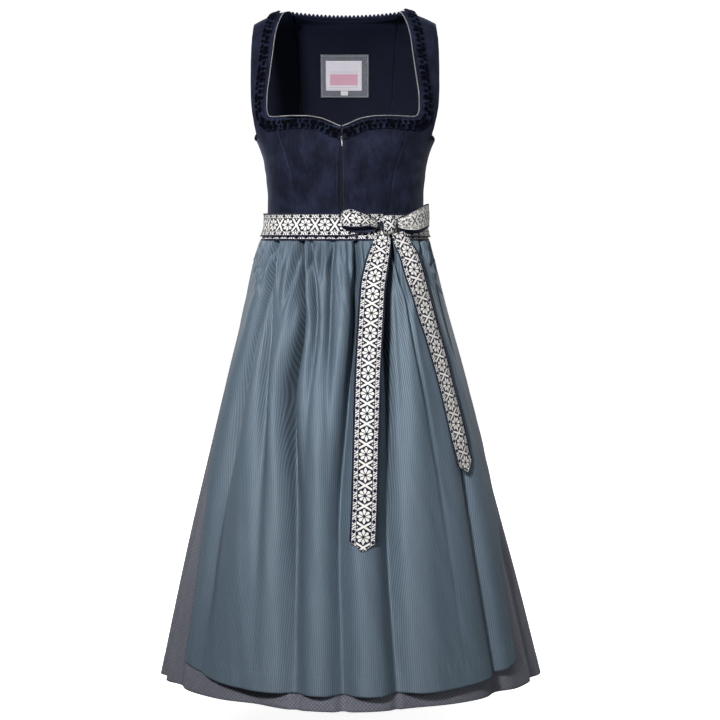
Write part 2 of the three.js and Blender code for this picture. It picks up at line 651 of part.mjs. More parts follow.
// A half of the skirt, from one side seam to the other
function skirt_panel(from, to, columns, gathers) {
  const surface = (lift) => (u, v, i, j) => {
    const drop = skirt_levels[j];
    const inset = (seam_gap / 2 + 0.1) / skirt_radius(-drop);
    const angle = mix(from * degrees + inset, to * degrees - inset, u);
    const height = gathers ? 1.6 * gather_height(Math.max(apron_top, drop)) * gather(u * gathers) : 0;
    const near_waist = Math.min(1, (drop - 345) / 20);
    const step = ((to - from) * degrees) / columns;
    const folded = Math.max(skirt_hollow(angle, -drop), under_apron(angle, j, step));
    return around_skirt(angle, -drop, lift - folded - height * near_waist);
  };
  return wall(columns, skirt_levels.length - 1, surface(0), surface(skirt_wall));
}
add("skirt_front", "skirt", skirt_panel(-90, 90, 40, 0));
add("skirt_back", "skirt", skirt_panel(90, 270, 2 * back_gathers, back_gathers));

// The apron, gathered to its band
const apron_levels = [0, 0.018, 0.05, 0.11, 0.21, 0.36, 0.56, 0.78, 1];

function apron_point(u, v, lift) {
  const across = 2 * u - 1;
  const bottom = apron_drop - 19 * across ** 4;
  const z = -mix(apron_top, bottom, v);
  const angle = mix(right_edge(-z), left_edge(-z), u) * degrees;
  const gathers = gather_height(-z) * gather(u * apron_gathers);
  return around_skirt(angle, z, lift + apron_off(angle, z) - apron_hollow(angle, z) - gathers);
}

function apron() {
  const surface = (lift) => (u, v, i, j) => apron_point(u, apron_levels[j], lift);
  return wall(2 * apron_gathers, apron_levels.length - 1, surface(0), surface(apron_wall));
}
add("apron", "apron", apron());

// Ribbon round the waist: the apron's band, then the ties over it, all with columns at the same angles
const column_turn = 6;
const band_away = bodice_wall + 1.5;
const tie_away = band_away + ribbon_wall + 1.7;
const back_slant = 4;

function waist_ribbon(from, to, top, bottom, away) {
  const surface = (lift) => (u, v) => {
    const turn = mix(from, to, u);
    return around_waist(turn * degrees, mix(bottom(turn), top(turn), v), away(turn) + lift);
  };
  return wall(Math.round((to - from) / column_turn), 2, surface(0), surface(ribbon_wall));
}

const at_back = (turn) => back_slant * THREE.MathUtils.smoothstep(Math.abs(turn), 120, 180);
const narrowed = (turn) => 11 * THREE.MathUtils.smoothstep(turn, 0, 27);
const under_lap = (turn) => (turn < -172 ? band_away : tie_away);
add("apron_band", "ribbon", waist_ribbon(-170.5, 170.5, () => -330, () => -366.6, () => band_away));
add("tie_right", "ribbon", waist_ribbon(
  -189, 27, (turn) => -324 + at_back(turn), (turn) => -360.5 + at_back(turn) + narrowed(turn), under_lap,
));
add("tie_left", "ribbon", waist_ribbon(
  33, 183, (turn) => -325 - at_back(turn), (turn) => -361.5 - at_back(turn), () => tie_away,
));

// Bow: strips of ribbon set by the places of their upper and lower edges
function strip(rows, columns, steps, place) {
  const upper = path(rows.map(({ turn, top, away }) => ({ turn, top, away })));
  const lower = path(rows.map(({ turn, bottom, away, lean = 0 }) => ({ turn, bottom, away: away + lean })));
  const middle = (u, v) => {
    const [turn_a, top, away_a] = upper(u);
    const [turn_b, bottom, away_b] = lower(u);
    return place(mix(turn_b, turn_a, v), mix(bottom, top, v), mix(away_b, away_a, v));
  };
  const surface = (lift) => (u, v) => {
    const step = 0.01;
    const along = middle(Math.min(1, u + step), v).sub(middle(Math.max(0, u - step), v));
    const up = middle(u, 1).sub(middle(u, 0));
    return middle(u, v).addScaledVector(along.cross(up).normalize(), lift);
  };
  return wall(columns, steps, surface(-ribbon_wall / 2), surface(ribbon_wall / 2));
}
const round_waist = (turn, z, away) => around_waist(turn * degrees, z, away + 0.9);

// Each loop goes out from the knot over its front layer and comes back behind it
const right_loop_rows = [
  { turn: 21.5, top: -335, bottom: -348, away: 17 },
  { turn: 15.5, top: -327.5, bottom: -345, away: 21 },
  { turn: 9, top: -321, bottom: -347, away: 24 },
  { turn: 3.5, top: -316.5, bottom: -347, away: 24 },
  { turn: -0.5, top: -318.5, bottom: -345.5, away: 21.5 },
  { turn: -2.2, top: -321.5, bottom: -346, away: 17 },
  { turn: -0.5, top: -323.5, bottom: -349, away: 13 },
  { turn: 5, top: -325.5, bottom: -353.5, away: 10.3 },
  { turn: 13, top: -329, bottom: -355, away: 10.1 },
  { turn: 21, top: -335, bottom: -351, away: 10.7 },
];
const left_loop_rows = [
  { turn: 37.5, top: -332, bottom: -348, away: 17 },
  { turn: 43, top: -326.5, bottom: -351, away: 20 },
  { turn: 50, top: -319, bottom: -352, away: 21 },
  { turn: 58, top: -313, bottom: -349.5, away: 19 },
  { turn: 67, top: -309.5, bottom: -346, away: 16 },
  { turn: 73, top: -309, bottom: -345, away: 14 },
  { turn: 74, top: -310.5, bottom: -346, away: 12.2 },
  { turn: 68, top: -314.5, bottom: -350, away: 10.4 },
  { turn: 58, top: -319.5, bottom: -355, away: 10.4 },
  { turn: 48, top: -325.5, bottom: -356, away: 10.4 },
  { turn: 38.5, top: -333, bottom: -352, away: 10.8 },
];
add("bow_loop_right", "ribbon", strip(right_loop_rows, 22, 2, round_waist));
add("bow_loop_left", "ribbon", strip(left_loop_rows, 24, 2, round_waist));

// The knot, a rounded wad of ribbon
function knot() {
  const center = around_waist(29.6 * degrees, -342.5, 18);
  const ball = new THREE.SphereGeometry(1, 16, 9);
  ball.scale(13.4, 9, 15.5);
  ball.rotateY(-14 * degrees);
  ball.rotateZ(29.6 * degrees);
  return ball.translate(...center.toArray());
}
add("bow_knot", "ribbon", knot());

// Tails, by the middle of the ribbon: its sideways place, its height, its width and its stand off the skirt
const right_tail_rows = [
  { side: 57, z: -357.7, width: 16, away: 15 },
  { side: 54, z: -376, width: 31, away: 13 },
  { side: 47.5, z: -405, width: 37, away: 11.5 },
  { side: 42, z: -435, width: 38, away: 11 },
  { side: 38, z: -492, width: 38, away: 11 },
  { side: 34.5, z: -575, width: 38, away: 11 },
  { side: 33, z: -635, width: 38, away: 11.5 },
  { side: 30.5, z: -753, width: 38, away: 13 },
  { side: 28.3, z: -813, width: 38, away: 14 },
  { side: 28.2, z: -826, width: 13, away: 14.3 },
];
const left_tail_rows = [
  { side: 77, z: -354.5, width: 18, away: 17 },
  { side: 84.5, z: -370, width: 27, away: 14 },
  { side: 92.5, z: -387, width: 33, away: 13 },
  { side: 103, z: -426, width: 38, away: 11.5 },
  { side: 116, z: -467, width: 38, away: 11 },
  { side: 127, z: -504, width: 38, away: 11 },
  { side: 142, z: -555, width: 38, away: 11 },
  { side: 159, z: -626, width: 38, away: 11.5 },
  { side: 173, z: -686.5, width: 38, away: 12 },
  { side: 178.5, z: -708.5, width: 38, away: 12.3 },
  { side: 181.5, z: -720.5, width: 13, away: 12.5 },
];

function tail(rows, tilt) {
  const line = path(rows);
  const tip = rows[rows.length - 1].z;
  const middle = (u, v) => {
    const [side, z, width, away] = line(u);
    const half = (v - 0.5) * Math.min(width, 3 + 2.6 * (z - tip));
    const height = z + half * tilt;
    const place = side_angle(side, z);
    const spread = skirt_form(place + 0.01, z).distanceTo(skirt_form(place, z)) / 0.01;
    return around_skirt(place + half / spread, height, away);
  };
  const surface = (lift) => (u, v) => {
    const step = 0.01;
    const down = middle(Math.min(1, u + step), 0.5).sub(middle(Math.max(0, u - step), 0.5));
    const across = middle(u, 1).sub(middle(u, 0));
    return middle(u, v).addScaledVector(down.cross(across).normalize(), -lift);
  };
  return wall(2 * (rows.length - 1), 2, surface(-ribbon_wall / 2), surface(ribbon_wall / 2));
}
add("bow_tail_right", "ribbon", tail(right_tail_rows, -0.06));
add("bow_tail_left", "ribbon", tail(left_tail_rows, 0.28));

export default dress;
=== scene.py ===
"""Looks of a sleeveless dirndl with its apron tied on, set on its CAD frame.

Lengths are in millimetres until a mesh is made.
"""

import math

import bpy
import numpy as np
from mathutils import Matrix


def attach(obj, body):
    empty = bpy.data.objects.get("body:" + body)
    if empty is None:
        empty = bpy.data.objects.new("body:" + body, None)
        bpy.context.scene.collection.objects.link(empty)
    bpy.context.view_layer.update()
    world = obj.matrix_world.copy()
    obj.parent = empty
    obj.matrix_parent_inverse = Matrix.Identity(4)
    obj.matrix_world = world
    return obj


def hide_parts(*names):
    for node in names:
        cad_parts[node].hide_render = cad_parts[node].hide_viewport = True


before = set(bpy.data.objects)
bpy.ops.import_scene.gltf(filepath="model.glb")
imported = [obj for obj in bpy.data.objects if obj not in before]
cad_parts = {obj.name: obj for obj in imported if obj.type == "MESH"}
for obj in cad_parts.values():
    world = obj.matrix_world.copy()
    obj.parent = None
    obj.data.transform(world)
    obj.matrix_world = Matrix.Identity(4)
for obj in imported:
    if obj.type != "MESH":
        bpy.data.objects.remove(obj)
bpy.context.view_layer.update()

# Sizes shared with the solids
WAIST_DROP = 363
BODICE_DROP = 347
APRON_TOP = 367
HEM_DROP = 1061
APRON_DROP = 1036
TORSO_MIDDLE = 2.8
FRONT_SHIFT = 5.6
SEAM_GAP = 0.4
BODICE_WALL = 2.2
BACK_WALL = 1.6
LINING_WALL = 1
LINING_FACE = -2.4
SKIRT_WALL = 1.6
RIBBON_WALL = 1.8
APRON_GATHERS = 27
BACK_GATHERS = 30
RIBBON_HALF = 19

# Where the torso's shoulders start to slope, and the fullest place of its front
SHOULDER_START = 91.5
BUST_SIDE = 72
BUST_DROP = 228.5

# Torso by the drop below the shoulder line: drop, half width, front depth, back depth
TORSO_ROWS = [
    (0, 166, 0, 0), (2, 166, 14, 30), (7, 166, 27, 56), (13, 166, 36, 69), (25.5, 166, 50, 82),
    (59, 165, 74, 98), (98.5, 162, 95, 107), (142.5, 156, 111, 112), (177, 147, 119, 111),
    (211, 134, 125, 108), (231.5, 128, 127, 105.5), (261, 124, 122, 101), (295.5, 121.4, 113, 96),
    (330, 121.8, 106, 92), (363, 123.6, 104, 91),
]

# Skirt by its drop: drop, half width, middle, front depth, back depth, roundness
SKIRT_ROWS = [
    (347, 123, 2.8, 104.9, 91.4, 0.75), (357, 125.5, 2.2, 107.5, 94, 0.76), (367, 129, 1.5, 111.5, 98, 0.78),
    (382, 133.5, 0.8, 119.5, 106, 0.8), (398, 138, 0.5, 127.5, 115, 0.83), (438, 148, 0.5, 144, 134, 0.9),
    (478, 158, 0.8, 158, 149, 0.95), (558, 180, 1.4, 177, 172, 1), (718.5, 221, 3.2, 211, 212, 1.05),
    (881, 263.5, 5.6, 244, 248, 1.14), (1061, 306, 9, 276, 285, 1.34),
]

# Folds of the apron: sideways places, depths and widths at five drops
FOLD_DROPS = (367, 475, 615, 797, 1036)
APRON_FOLDS = [
    ((-101, -125, -158, -190, -215), (4, 11, 12, 7, 3), (6, 9, 14, 20, 26)),
    ((-103, -110, -118, -122, -126), (0, 7, 8, 4, 0), (6, 8, 10, 14, 14)),
    ((-63, -63, -83, -73, -70), (3, 12, 16, 13, 9), (6, 8, 14, 18, 20)),
    ((-49, -41, -52, -60, -60), (2, 7, 3, 0, 0), (5, 8, 12, 14, 14)),
    ((-17, -20, -23, -23, -23), (2, 6, 2, 0, 0), (5, 8, 12, 14, 14)),
    ((19, 19, 8, -5, 0), (3, 11, 11, 9, 10), (6, 8, 12, 16, 20)),
    ((74, 69, 72, 70, 82), (4, 14, 12, 12, 10), (8, 11, 14, 18, 20)),
    ((82, 84, 90, 90, 90), (0, 4, 3, 0, 0), (6, 7, 10, 12, 12)),
    ((115, 130, 168, 195, 233), (3, 8, 7, 6, 6), (5, 8, 12, 14, 16)),
]

# Sharp creases at the bottom of the strongest folds: sideways places and depths at the same five drops
APRON_CREASES = [
    ((-101, -125, -158, -190, -215), (2, 5, 2, 1, 0)),
    ((-64, -64, -87, -76, -71), (5, 13, 15, 3, 0)),
    ((-49, -41, -50, -60, -60), (3, 5, 1, 0, 0)),
    ((-17, -20, -23, -23, -23), (3, 5, 1, 0, 0)),
    ((19, 19, 9, -6, 0), (4, 10, 6, 3, 1)),
    ((72, 69, 74, 71, 82), (9, 14, 9, 4, 1)),
    ((84, 96, 122, 150, 180), (4, 6, 2, 1, 0)),
    ((115, 130, 168, 195, 233), (3, 6, 4, 2, 1)),
]

# Short creases under the apron's band: sideways place, how far each leans, its length, depth and width
WAIST_CREASES = [
    (-122, -3, 70, 2.5, 3), (-112, -4, 60, 3, 3), (-103, -2, 90, 7, 3.2), (-91, 1, 60, 6, 3),
    (-80, 2, 45, 5, 3),
    (-65, 3, 120, 10, 3.4), (-59, 10, 165, 9, 7), (-50, 8, 60, 6, 3), (-41, -6, 55, 8, 3.2), (-31, 4, 75, 7, 3),
    (-21, -4, 40, 5, 3), (-12, -8, 60, 8, 3.2), (-3, 5, 45, 5, 3), (19, 0, 120, 9, 3.2), (9, 3, 40, 5, 3),
    (31, -3, 60, 6, 3), (42, 3, 50, 5, 3), (52, -2, 60, 6, 3), (63, 3, 70, 6, 3), (73, 1, 130, 10, 3.4),
    (84, 4, 80, 8, 3), (95, 2, 60, 6, 3), (104, 4, 85, 6, 3), (113, 5, 100, 5, 3.2), (122, 4, 60, 2.5, 3),
]

# Folds of the skirt: angle at the waist and at the hem, drop where it begins, depth and width at the hem
SKIRT_FOLDS = [
    (-64, -62, 600, 9, 22), (-30, -28, 620, 12, 42), (18, 20, 650, 9, 46), (48, 50, 620, 13, 24),
    (76, 74, 480, 9, 22), (101, 103, 420, 19, 26), (119, 119, 400, 26, 24), (136, 135, 410, 22, 28),
    (155, 153, 395, 30, 26), (172, 174, 405, 24, 24), (190, 193, 395, 29, 28), (209, 213, 410, 23, 26),
    (229, 231, 400, 28, 28), (247, 249, 420, 20, 24), (265, 267, 440, 18, 30), (284, 283, 500, 10, 22),
]

# Side edges of the apron in degrees: drop, right, left
APRON_EDGES = [
    (367, -96, 96), (440, -87, 93), (512, -76, 90), (631, -71, 86), (695.5, -69, 82), (771.5, -64, 76),
    (852.5, -60.5, 67), (928.5, -58, 61), (1035.5, -57, 59),
]

# How far the apron stands off the skirt's form, and how high its gathers are: drop, off, gather
APRON_STAND = [
    (367, 5.2, 2.2), (383, 6, 5.0), (412, 6, 4.0), (460, 5.5, 1.5), (540, 5.5, 0.25), (695.5, 7, 0),
    (898, 11, 0), (1061, 15, 0),
]

# Front neckline from the centre to the shoulder: sideways distance from the front's middle line, height
NECKLINE = [
    (0, -194), (8, -191), (17, -187), (32, -181), (55, -177.5), (80, -177), (104, -177.5), (112, -176.5),
    (116.5, -171.5), (118.3, -160), (118, -142.5), (114.8, -116), (110.2, -80.5), (105.6, -43.5), (99.3, -21.5),
    (91.5, -5),
]

# Body panels for the wearer's left: inner edge x and z, outer edge x and z, from the waist to the shoulder
FRONT_CENTER_ROWS = [
    (2.1, -347, 72, -347), (2.5, -320.5, 73, -317.5), (3, -293.5, 75.5, -288), (3.1, -268, 80, -259),
    (2.6, -242.5, 88, -232.5), (1.8, -218.5, 97, -205), (1.2, -194.5, 104, -177.5),
]
FRONT_SIDE_ROWS = [
    (72, -347, 125, -347), (73, -317.5, 124, -317.5), (75.5, -288, 126, -288), (80, -259, 130, -260),
    (88, -232.5, 136, -234.5), (97, -205, 142, -211), (104, -177.5, 135.8, -203), (112, -176.5, 138.4, -191),
    (116.5, -171.5, 141.6, -175), (118.3, -160, 144.6, -155.5), (116.9, -133, 146, -128),
    (112.5, -98.5, 146.2, -98.5), (108.1, -63, 146, -73), (103.8, -35.5, 145.2, -52), (98.2, -18.5, 144, -39.5),
    (91.5, -5, 142.5, -24),
]
BACK_CENTER_ROWS = [
    (0, -347, 55, -347), (0, -295.5, 59, -295.5), (0, -256.5, 64, -258), (0, -218.5, 69, -221.5),
    (0, -185, 72, -189), (0, -155.5, 74.3, -159.5), (0, -125, 76.6, -128), (0, -91.5, 78.8, -92.5),
    (0, -60, 80.3, -57), (0, -33.5, 82.6, -27.5), (0, -12, 84.5, -8.5),
]
BACK_SIDE_ROWS = [
    (55, -347, 125, -347), (59, -295.5, 125, -297.5), (64, -258, 130, -258), (69, -221.5, 136, -232.5),
    (72, -189, 142, -211), (74.3, -159.5, 136, -202), (76.6, -128, 139.4, -185), (78.8, -92.5, 144.6, -155.5),
    (80.3, -57, 146.2, -110), (82.6, -27.5, 145.8, -69), (84.5, -8.5, 144, -40.5), (91.5, -5, 142.5, -24),
]

# Bow loops: turn round the waist in degrees, top and bottom edge, stand off the waist
RIGHT_LOOP_ROWS = [
    (21.5, -335, -348, 17), (15.5, -327.5, -345, 21), (9, -321, -347, 24), (3.5, -316.5, -347, 24),
    (-0.5, -318.5, -345.5, 21.5), (-2.2, -321.5, -346, 17), (-0.5, -323.5, -349, 13), (5, -325.5, -353.5, 10.3),
    (13, -329, -355, 10.1), (21, -335, -351, 10.7),
]
LEFT_LOOP_ROWS = [
    (37.5, -332, -348, 17), (43, -326.5, -351, 20), (50, -319, -352, 21), (58, -313, -349.5, 19),
    (67, -309.5, -346, 16), (73, -309, -345, 14), (74, -310.5, -346, 12.2), (68, -314.5, -350, 10.4),
    (58, -319.5, -355, 10.4), (48, -325.5, -356, 10.4), (38.5, -333, -352, 10.8),
]

# Tails of the bow by the middle of the ribbon: sideways place, height, width, stand off the skirt
RIGHT_TAIL_ROWS = [
    (57, -357.7, 16, 15), (54, -376, 31, 13), (47.5, -405, 37, 11.5), (42, -435, 38, 11), (38, -492, 38, 11),
    (34.5, -575, 38, 11), (33, -635, 38, 11.5), (30.5, -753, 38, 13), (28.3, -813, 38, 14),
    (28.2, -826, 13, 14.3),
]
LEFT_TAIL_ROWS = [
    (77, -354.5, 18, 17), (84.5, -370, 27, 14), (92.5, -387, 33, 13), (103, -426, 38, 11.5),
    (116, -467, 38, 11), (127, -504, 38, 11), (142, -555, 38, 11), (159, -626, 38, 11.5), (173, -686.5, 38, 12),
    (178.5, -708.5, 38, 12.3), (181.5, -720.5, 13, 12.5),
]


def curve(rows, value):
    """A smooth curve of one column by the first one, which doesn't overshoot the table's rows."""
    at = np.array([row[0] for row in rows], float)
    height = np.array([row[value] for row in rows], float)
    steps = np.diff(height) / np.diff(at)
    before = np.concatenate([steps[:1], steps])
    after = np.concatenate([steps, steps[-1:]])
    turns = before * after <= 0
    slopes = np.where(turns, 0, 2 * before * after / np.where(turns, 1, before + after))

    def read(where):
        x = np.clip(where, at[0], at[-1])
        i = np.clip(np.searchsorted(at, x, side="right") - 1, 0, len(at) - 2)
        span = at[i + 1] - at[i]
        t = (x - at[i]) / span
        rise = height[i + 1] - height[i]
        bend = (1 - t) * (slopes[i] * span - rise) - t * (slopes[i + 1] * span - rise)
        return height[i] + rise * t + t * (1 - t) * bend

    return read


def path(rows):
    """A smooth path through a table's rows, from 0 at the first to 1 at the last."""
    numbered = [(i, *row) for i, row in enumerate(rows)]
    parts = [curve(numbered, k + 1) for k in range(len(rows[0]))]
    return lambda t: [part(np.asarray(t) * (len(rows) - 1)) for part in parts]


def mix(a, b, t):
    return a + (b - a) * t


def smoothstep(x, low, high):
    t = np.clip((np.asarray(x, float) - low) / (high - low), 0, 1)
    return t * t * (3 - 2 * t)


def bump(distance, width):
    return np.exp(-((distance / width) ** 2))


def unit(v):
    return v / np.maximum(np.linalg.norm(v, axis=-1, keepdims=True), 1e-9)


def wander(x, seed):
    """An uneven value from about -1 to 1 that changes smoothly over one unit of x."""
    return (np.sin(x * 1.7 + seed) + np.sin(x * 2.9 + 2.3 * seed) + np.sin(x * 0.73 + 4.1 * seed)) / 2.4


# Torso, by the square root of the share of the way down to the waist
TORSO_BY_ROOT = [(math.sqrt(drop / WAIST_DROP), *sizes) for drop, *sizes in TORSO_ROWS]
torso_half, torso_front, torso_back = (curve(TORSO_BY_ROOT, k) for k in (1, 2, 3))


def shoulder_drop(x):
    out = np.maximum(0, np.abs(x) - SHOULDER_START)
    return 6.7 + 0.26 * out + 0.0028 * out * out


def torso(angle, root):
    forward = np.cos(angle)
    x = torso_half(root) * np.sin(angle)
    share = 1 - root * root
    z = -WAIST_DROP * (1 - share) - share * shoulder_drop(x)
    fullness = 7 * np.exp(-(((np.abs(x) - BUST_SIDE) / 38) ** 2) - ((z + BUST_DROP) / 45) ** 2)
    front = -torso_front(root) * np.maximum(forward, 0) ** 0.7 - fullness
    back = torso_back(root) * np.maximum(-forward, 0) ** 0.8
    return np.stack([x + TORSO_MIDDLE, np.where(forward < 0, back, front), z + 0 * x], -1)


def torso_normal(angle, root):
    step = 1e-3
    across = torso(angle + step, root) - torso(angle - step, root)
    down = torso(angle, root + step) - torso(angle, np.maximum(0, root - step))
    return unit(np.cross(down, across))


def torso_place(x, z, on_back):
    away = np.abs(x - TORSO_MIDDLE)
    reach = away
    for _ in range(12):
        share = (z + WAIST_DROP) / (WAIST_DROP - shoulder_drop(reach))
        root = np.sqrt(np.maximum(0, 1 - share))
        reach = np.minimum(away, torso_half(root))
    angle = np.arcsin(np.minimum(1, reach / torso_half(root))) * np.where(x >= TORSO_MIDDLE, 1, -1)
    return (np.pi - angle if on_back else angle), root


def over_torso(x, z, lift, on_back):
    place = torso_place(x, z, on_back)
    return torso(*place) + torso_normal(*place) * np.asarray(lift)[..., None]


def from_middle(x, side):
    return TORSO_MIDDLE + side * x - FRONT_SHIFT * (1 - np.minimum(1, x / 150) ** 4)


FRONT_LINE = float(from_middle(0.0, 1))

# Skirt and apron forms
skirt_half, skirt_middle, skirt_front, skirt_back, skirt_roundness = (
    curve(SKIRT_ROWS, k) for k in range(1, 6)
)
stand_off, gather_height = (curve(APRON_STAND, k) for k in (1, 2))
right_edge, left_edge = (curve(APRON_EDGES, k) for k in (1, 2))
fold_curves, crease_curves = (
    [[curve(list(zip(FOLD_DROPS, values)), 1) for values in entry] for entry in table]
    for table in (APRON_FOLDS, APRON_CREASES)
)
EDGE_STAND = 4.6
CREASE_WIDTH = 3.9


def skirt_form(angle, z):
    forward = np.cos(angle)
    front = -skirt_front(-z) * np.maximum(forward, 0) ** skirt_roundness(-z)
    back = skirt_back(-z) * np.maximum(-forward, 0) ** np.minimum(1, skirt_roundness(-z))
    x = skirt_middle(-z) + skirt_half(-z) * np.sin(angle)
    return np.stack([x, front + back, z + 0 * x], -1)


def around_skirt(angle, z, away):
    step = 2e-3
    across = skirt_form(angle + step, z) - skirt_form(angle - step, z)
    out = unit(np.stack([across[..., 1], -across[..., 0], 0 * across[..., 0]], -1))
    return skirt_form(angle, z) + out * np.asarray(away + 0 * angle)[..., None]


def around_waist(angle, z, away):
    root = np.sqrt(np.clip(-z / WAIST_DROP, 0, 1))
    flat = torso_normal(angle, root) * np.array([1, 1, 0])
    above = torso(angle, root) * np.array([1, 1, 0]) + unit(flat) * np.asarray(away + 0 * angle)[..., None]
    above[..., 2] = z
    return np.where((-z > BODICE_DROP)[..., None], around_skirt(angle, z, away), above)


def skirt_radius(drop):
    return np.sqrt(skirt_half(drop) * skirt_front(drop))


def side_angle(x, z):
    return np.arcsin(np.clip((x - skirt_middle(-z)) / skirt_half(-z), -1, 1))


def half_turn(degrees):
    return (degrees + 180) % 360 - 180


def apron_hollow(angle, z):
    """How far the apron's folds go in, with the ridges that stand beside them."""
    total = 0 * angle
    for side, depth, width in fold_curves:
        apart = (angle - side_angle(side(-z), z)) * skirt_radius(-z)
        trough = 1.6 * bump(apart, 0.75 * width(-z)) + 0.5 * bump(apart, 2 * width(-z))
        ridges = bump(np.abs(apart) - 2.4 * width(-z), 1.3 * width(-z))
        total = total + depth(-z) * (trough - 0.45 * ridges)
    for side, depth in crease_curves:
        apart = (angle - side_angle(side(-z), z)) * skirt_radius(-z)
        total = total + 1.35 * depth(-z) * bump(apart, CREASE_WIDTH)
    for side, lean, length, depth, width in WAIST_CREASES:
        down = (-z - APRON_TOP) / length
        apart = (angle - side_angle(side + (lean + side * length / 300) * down, z)) * skirt_radius(-z)
        fade = mix(0.45, 1, smoothstep(down, 0, 0.2)) * smoothstep(down, 1, 0.45)
        ridges = bump(np.abs(apart) - 2.4 * width, 1.5 * width)
        total = total + depth * fade * (bump(apart, width) - 0.3 * ridges)
    return total


def apron_share(angle, drop):
    right, left = np.radians(right_edge(drop)), np.radians(left_edge(drop))
    return np.abs((2 * angle - left - right) / (left - right))


def apron_off(angle, z):
    return mix(stand_off(-z), EDGE_STAND, np.minimum(1, apron_share(angle, -z)) ** 4)


def apron_along(angle, drop):
    """The share of the way along the apron from its right edge to its left one."""
    right = right_edge(drop)
    return np.clip((np.degrees(angle) - right) / (left_edge(drop) - right), 0, 1)


def skirt_hollow(angle, z):
    total = 0 * angle
    for waist, hem, begins, depth, width in SKIRT_FOLDS:
        down = np.clip((-z - begins) / (HEM_DROP - begins), 0, 1)
        apart = half_turn(np.degrees(angle) - mix(waist, hem, down))
        total = total + depth * np.sqrt(down) * bump(
            np.radians(apart) * skirt_radius(-z), width * mix(0.45, 1, down)
        )
    return total


def gather(turns):
    uneven = 0.72 + 0.2 * np.sin(turns * 2.9) + 0.16 * np.sin(turns * 1.37 + 1)
    return uneven * (0.5 - 0.5 * np.cos(2 * np.pi * turns))


def in_scene(name, data):
    obj = bpy.data.objects.new(name, data)
    bpy.context.scene.collection.objects.link(obj)
    return obj


def enter(name, mesh, body="dress", replaces=(), slot=None):
    """Put a mesh in the scene as a piece that rides on a body."""
    obj = in_scene(name, mesh)
    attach(obj, body)
    if replaces:
        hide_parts(*replaces)
    return obj


def grid(columns, rows):
    """Shares along (last axis) and up (first axis) of a grid, from counts or from lists of shares."""
    u = np.linspace(0, 1, columns + 1) if isinstance(columns, int) else np.asarray(columns, float)
    v = np.linspace(0, 1, rows + 1) if isinstance(rows, int) else np.asarray(rows, float)
    return np.meshgrid(u, v)


def grid_normals(points):
    across = np.gradient(points, axis=1)
    up = np.gradient(points, axis=0)
    return unit(np.cross(across, up))


def lengths(points, axis, center):
    """Length along one axis of a grid of points, measured from the share center of it."""
    steps = np.linalg.norm(np.diff(points, axis=axis), axis=-1)
    zero = np.zeros_like(np.take(steps, [0], axis=axis))
    total = np.cumsum(np.concatenate([zero, steps], axis=axis), axis=axis)
    return total - center * np.take(total, [-1], axis=axis)


def make(name, points, faces, uv, materials, indices=None, **options):
    """A piece from points in millimetres, with its UV map in metres."""
    mesh = bpy.data.meshes.new(name)
    mesh.from_pydata((np.asarray(points) * 0.001).tolist(), [], faces)
    for material in materials:
        mesh.materials.append(material)
    mesh.polygons.foreach_set("use_smooth", [True] * len(mesh.polygons))
    if indices is not None:
        mesh.polygons.foreach_set("material_index", indices)
    if uv is not None:
        corners = np.empty(len(mesh.loops), dtype=np.int32)
        mesh.loops.foreach_get("vertex_index", corners)
        layer = mesh.uv_layers.new(name="cloth")
        layer.data.foreach_set("uv", (np.asarray(uv)[corners] * 0.001).astype(np.float32).ravel())
    mesh.update()
    enter(name, mesh, **options)


def shell(name, points, wall, uv, material, inside=None, flip=False, **options):
    """A sheet of cloth from its outer face's grid of points, with round edges."""
    rows, columns = points.shape[:2]
    inner = points - grid_normals(points) * (-wall if flip else wall)
    count = rows * columns
    index = np.arange(count).reshape(rows, columns)
    quads = np.stack([index[:-1, :-1], index[:-1, 1:], index[1:, 1:], index[1:, :-1]], -1).reshape(-1, 4)
    rim = np.concatenate([index[0, :-1], index[:-1, -1], index[-1, :0:-1], index[:0:-1, 0]])
    away = np.zeros((rows, columns, 3))
    away[0] += unit(points[0] - points[1])
    away[-1] += unit(points[-1] - points[-2])
    away[:, 0] += unit(points[:, 0] - points[:, 1])
    away[:, -1] += unit(points[:, -1] - points[:, -2])
    middle = ((points + inner) / 2 + unit(away) * 0.3 * wall).reshape(-1, 3)[rim]
    everything = np.concatenate([points.reshape(-1, 3), inner.reshape(-1, 3), middle])
    flat_uv = np.stack(uv, -1).reshape(-1, 2)
    everything_uv = np.concatenate([flat_uv, flat_uv, flat_uv[rim]])
    turned = quads[:, ::-1]
    front, back = (turned, quads) if flip else (quads, turned)
    after = np.roll(rim, -1)
    ring = 2 * count + np.arange(len(rim))
    ring_after = np.roll(ring, -1)
    first = np.stack([rim, ring, ring_after, after], -1)
    second = np.stack([ring, rim + count, after + count, ring_after], -1)
    if flip:
        first, second = first[:, ::-1], second[:, ::-1]
    faces = np.concatenate([front, back + count, first, second]).tolist()
    indices = [0] * len(front) + [1 if inside else 0] * len(back) + [0] * (len(first) + len(second))
    materials = [material, inside] if inside else [material]
    make(name, everything, faces, everything_uv, materials, indices, **options)


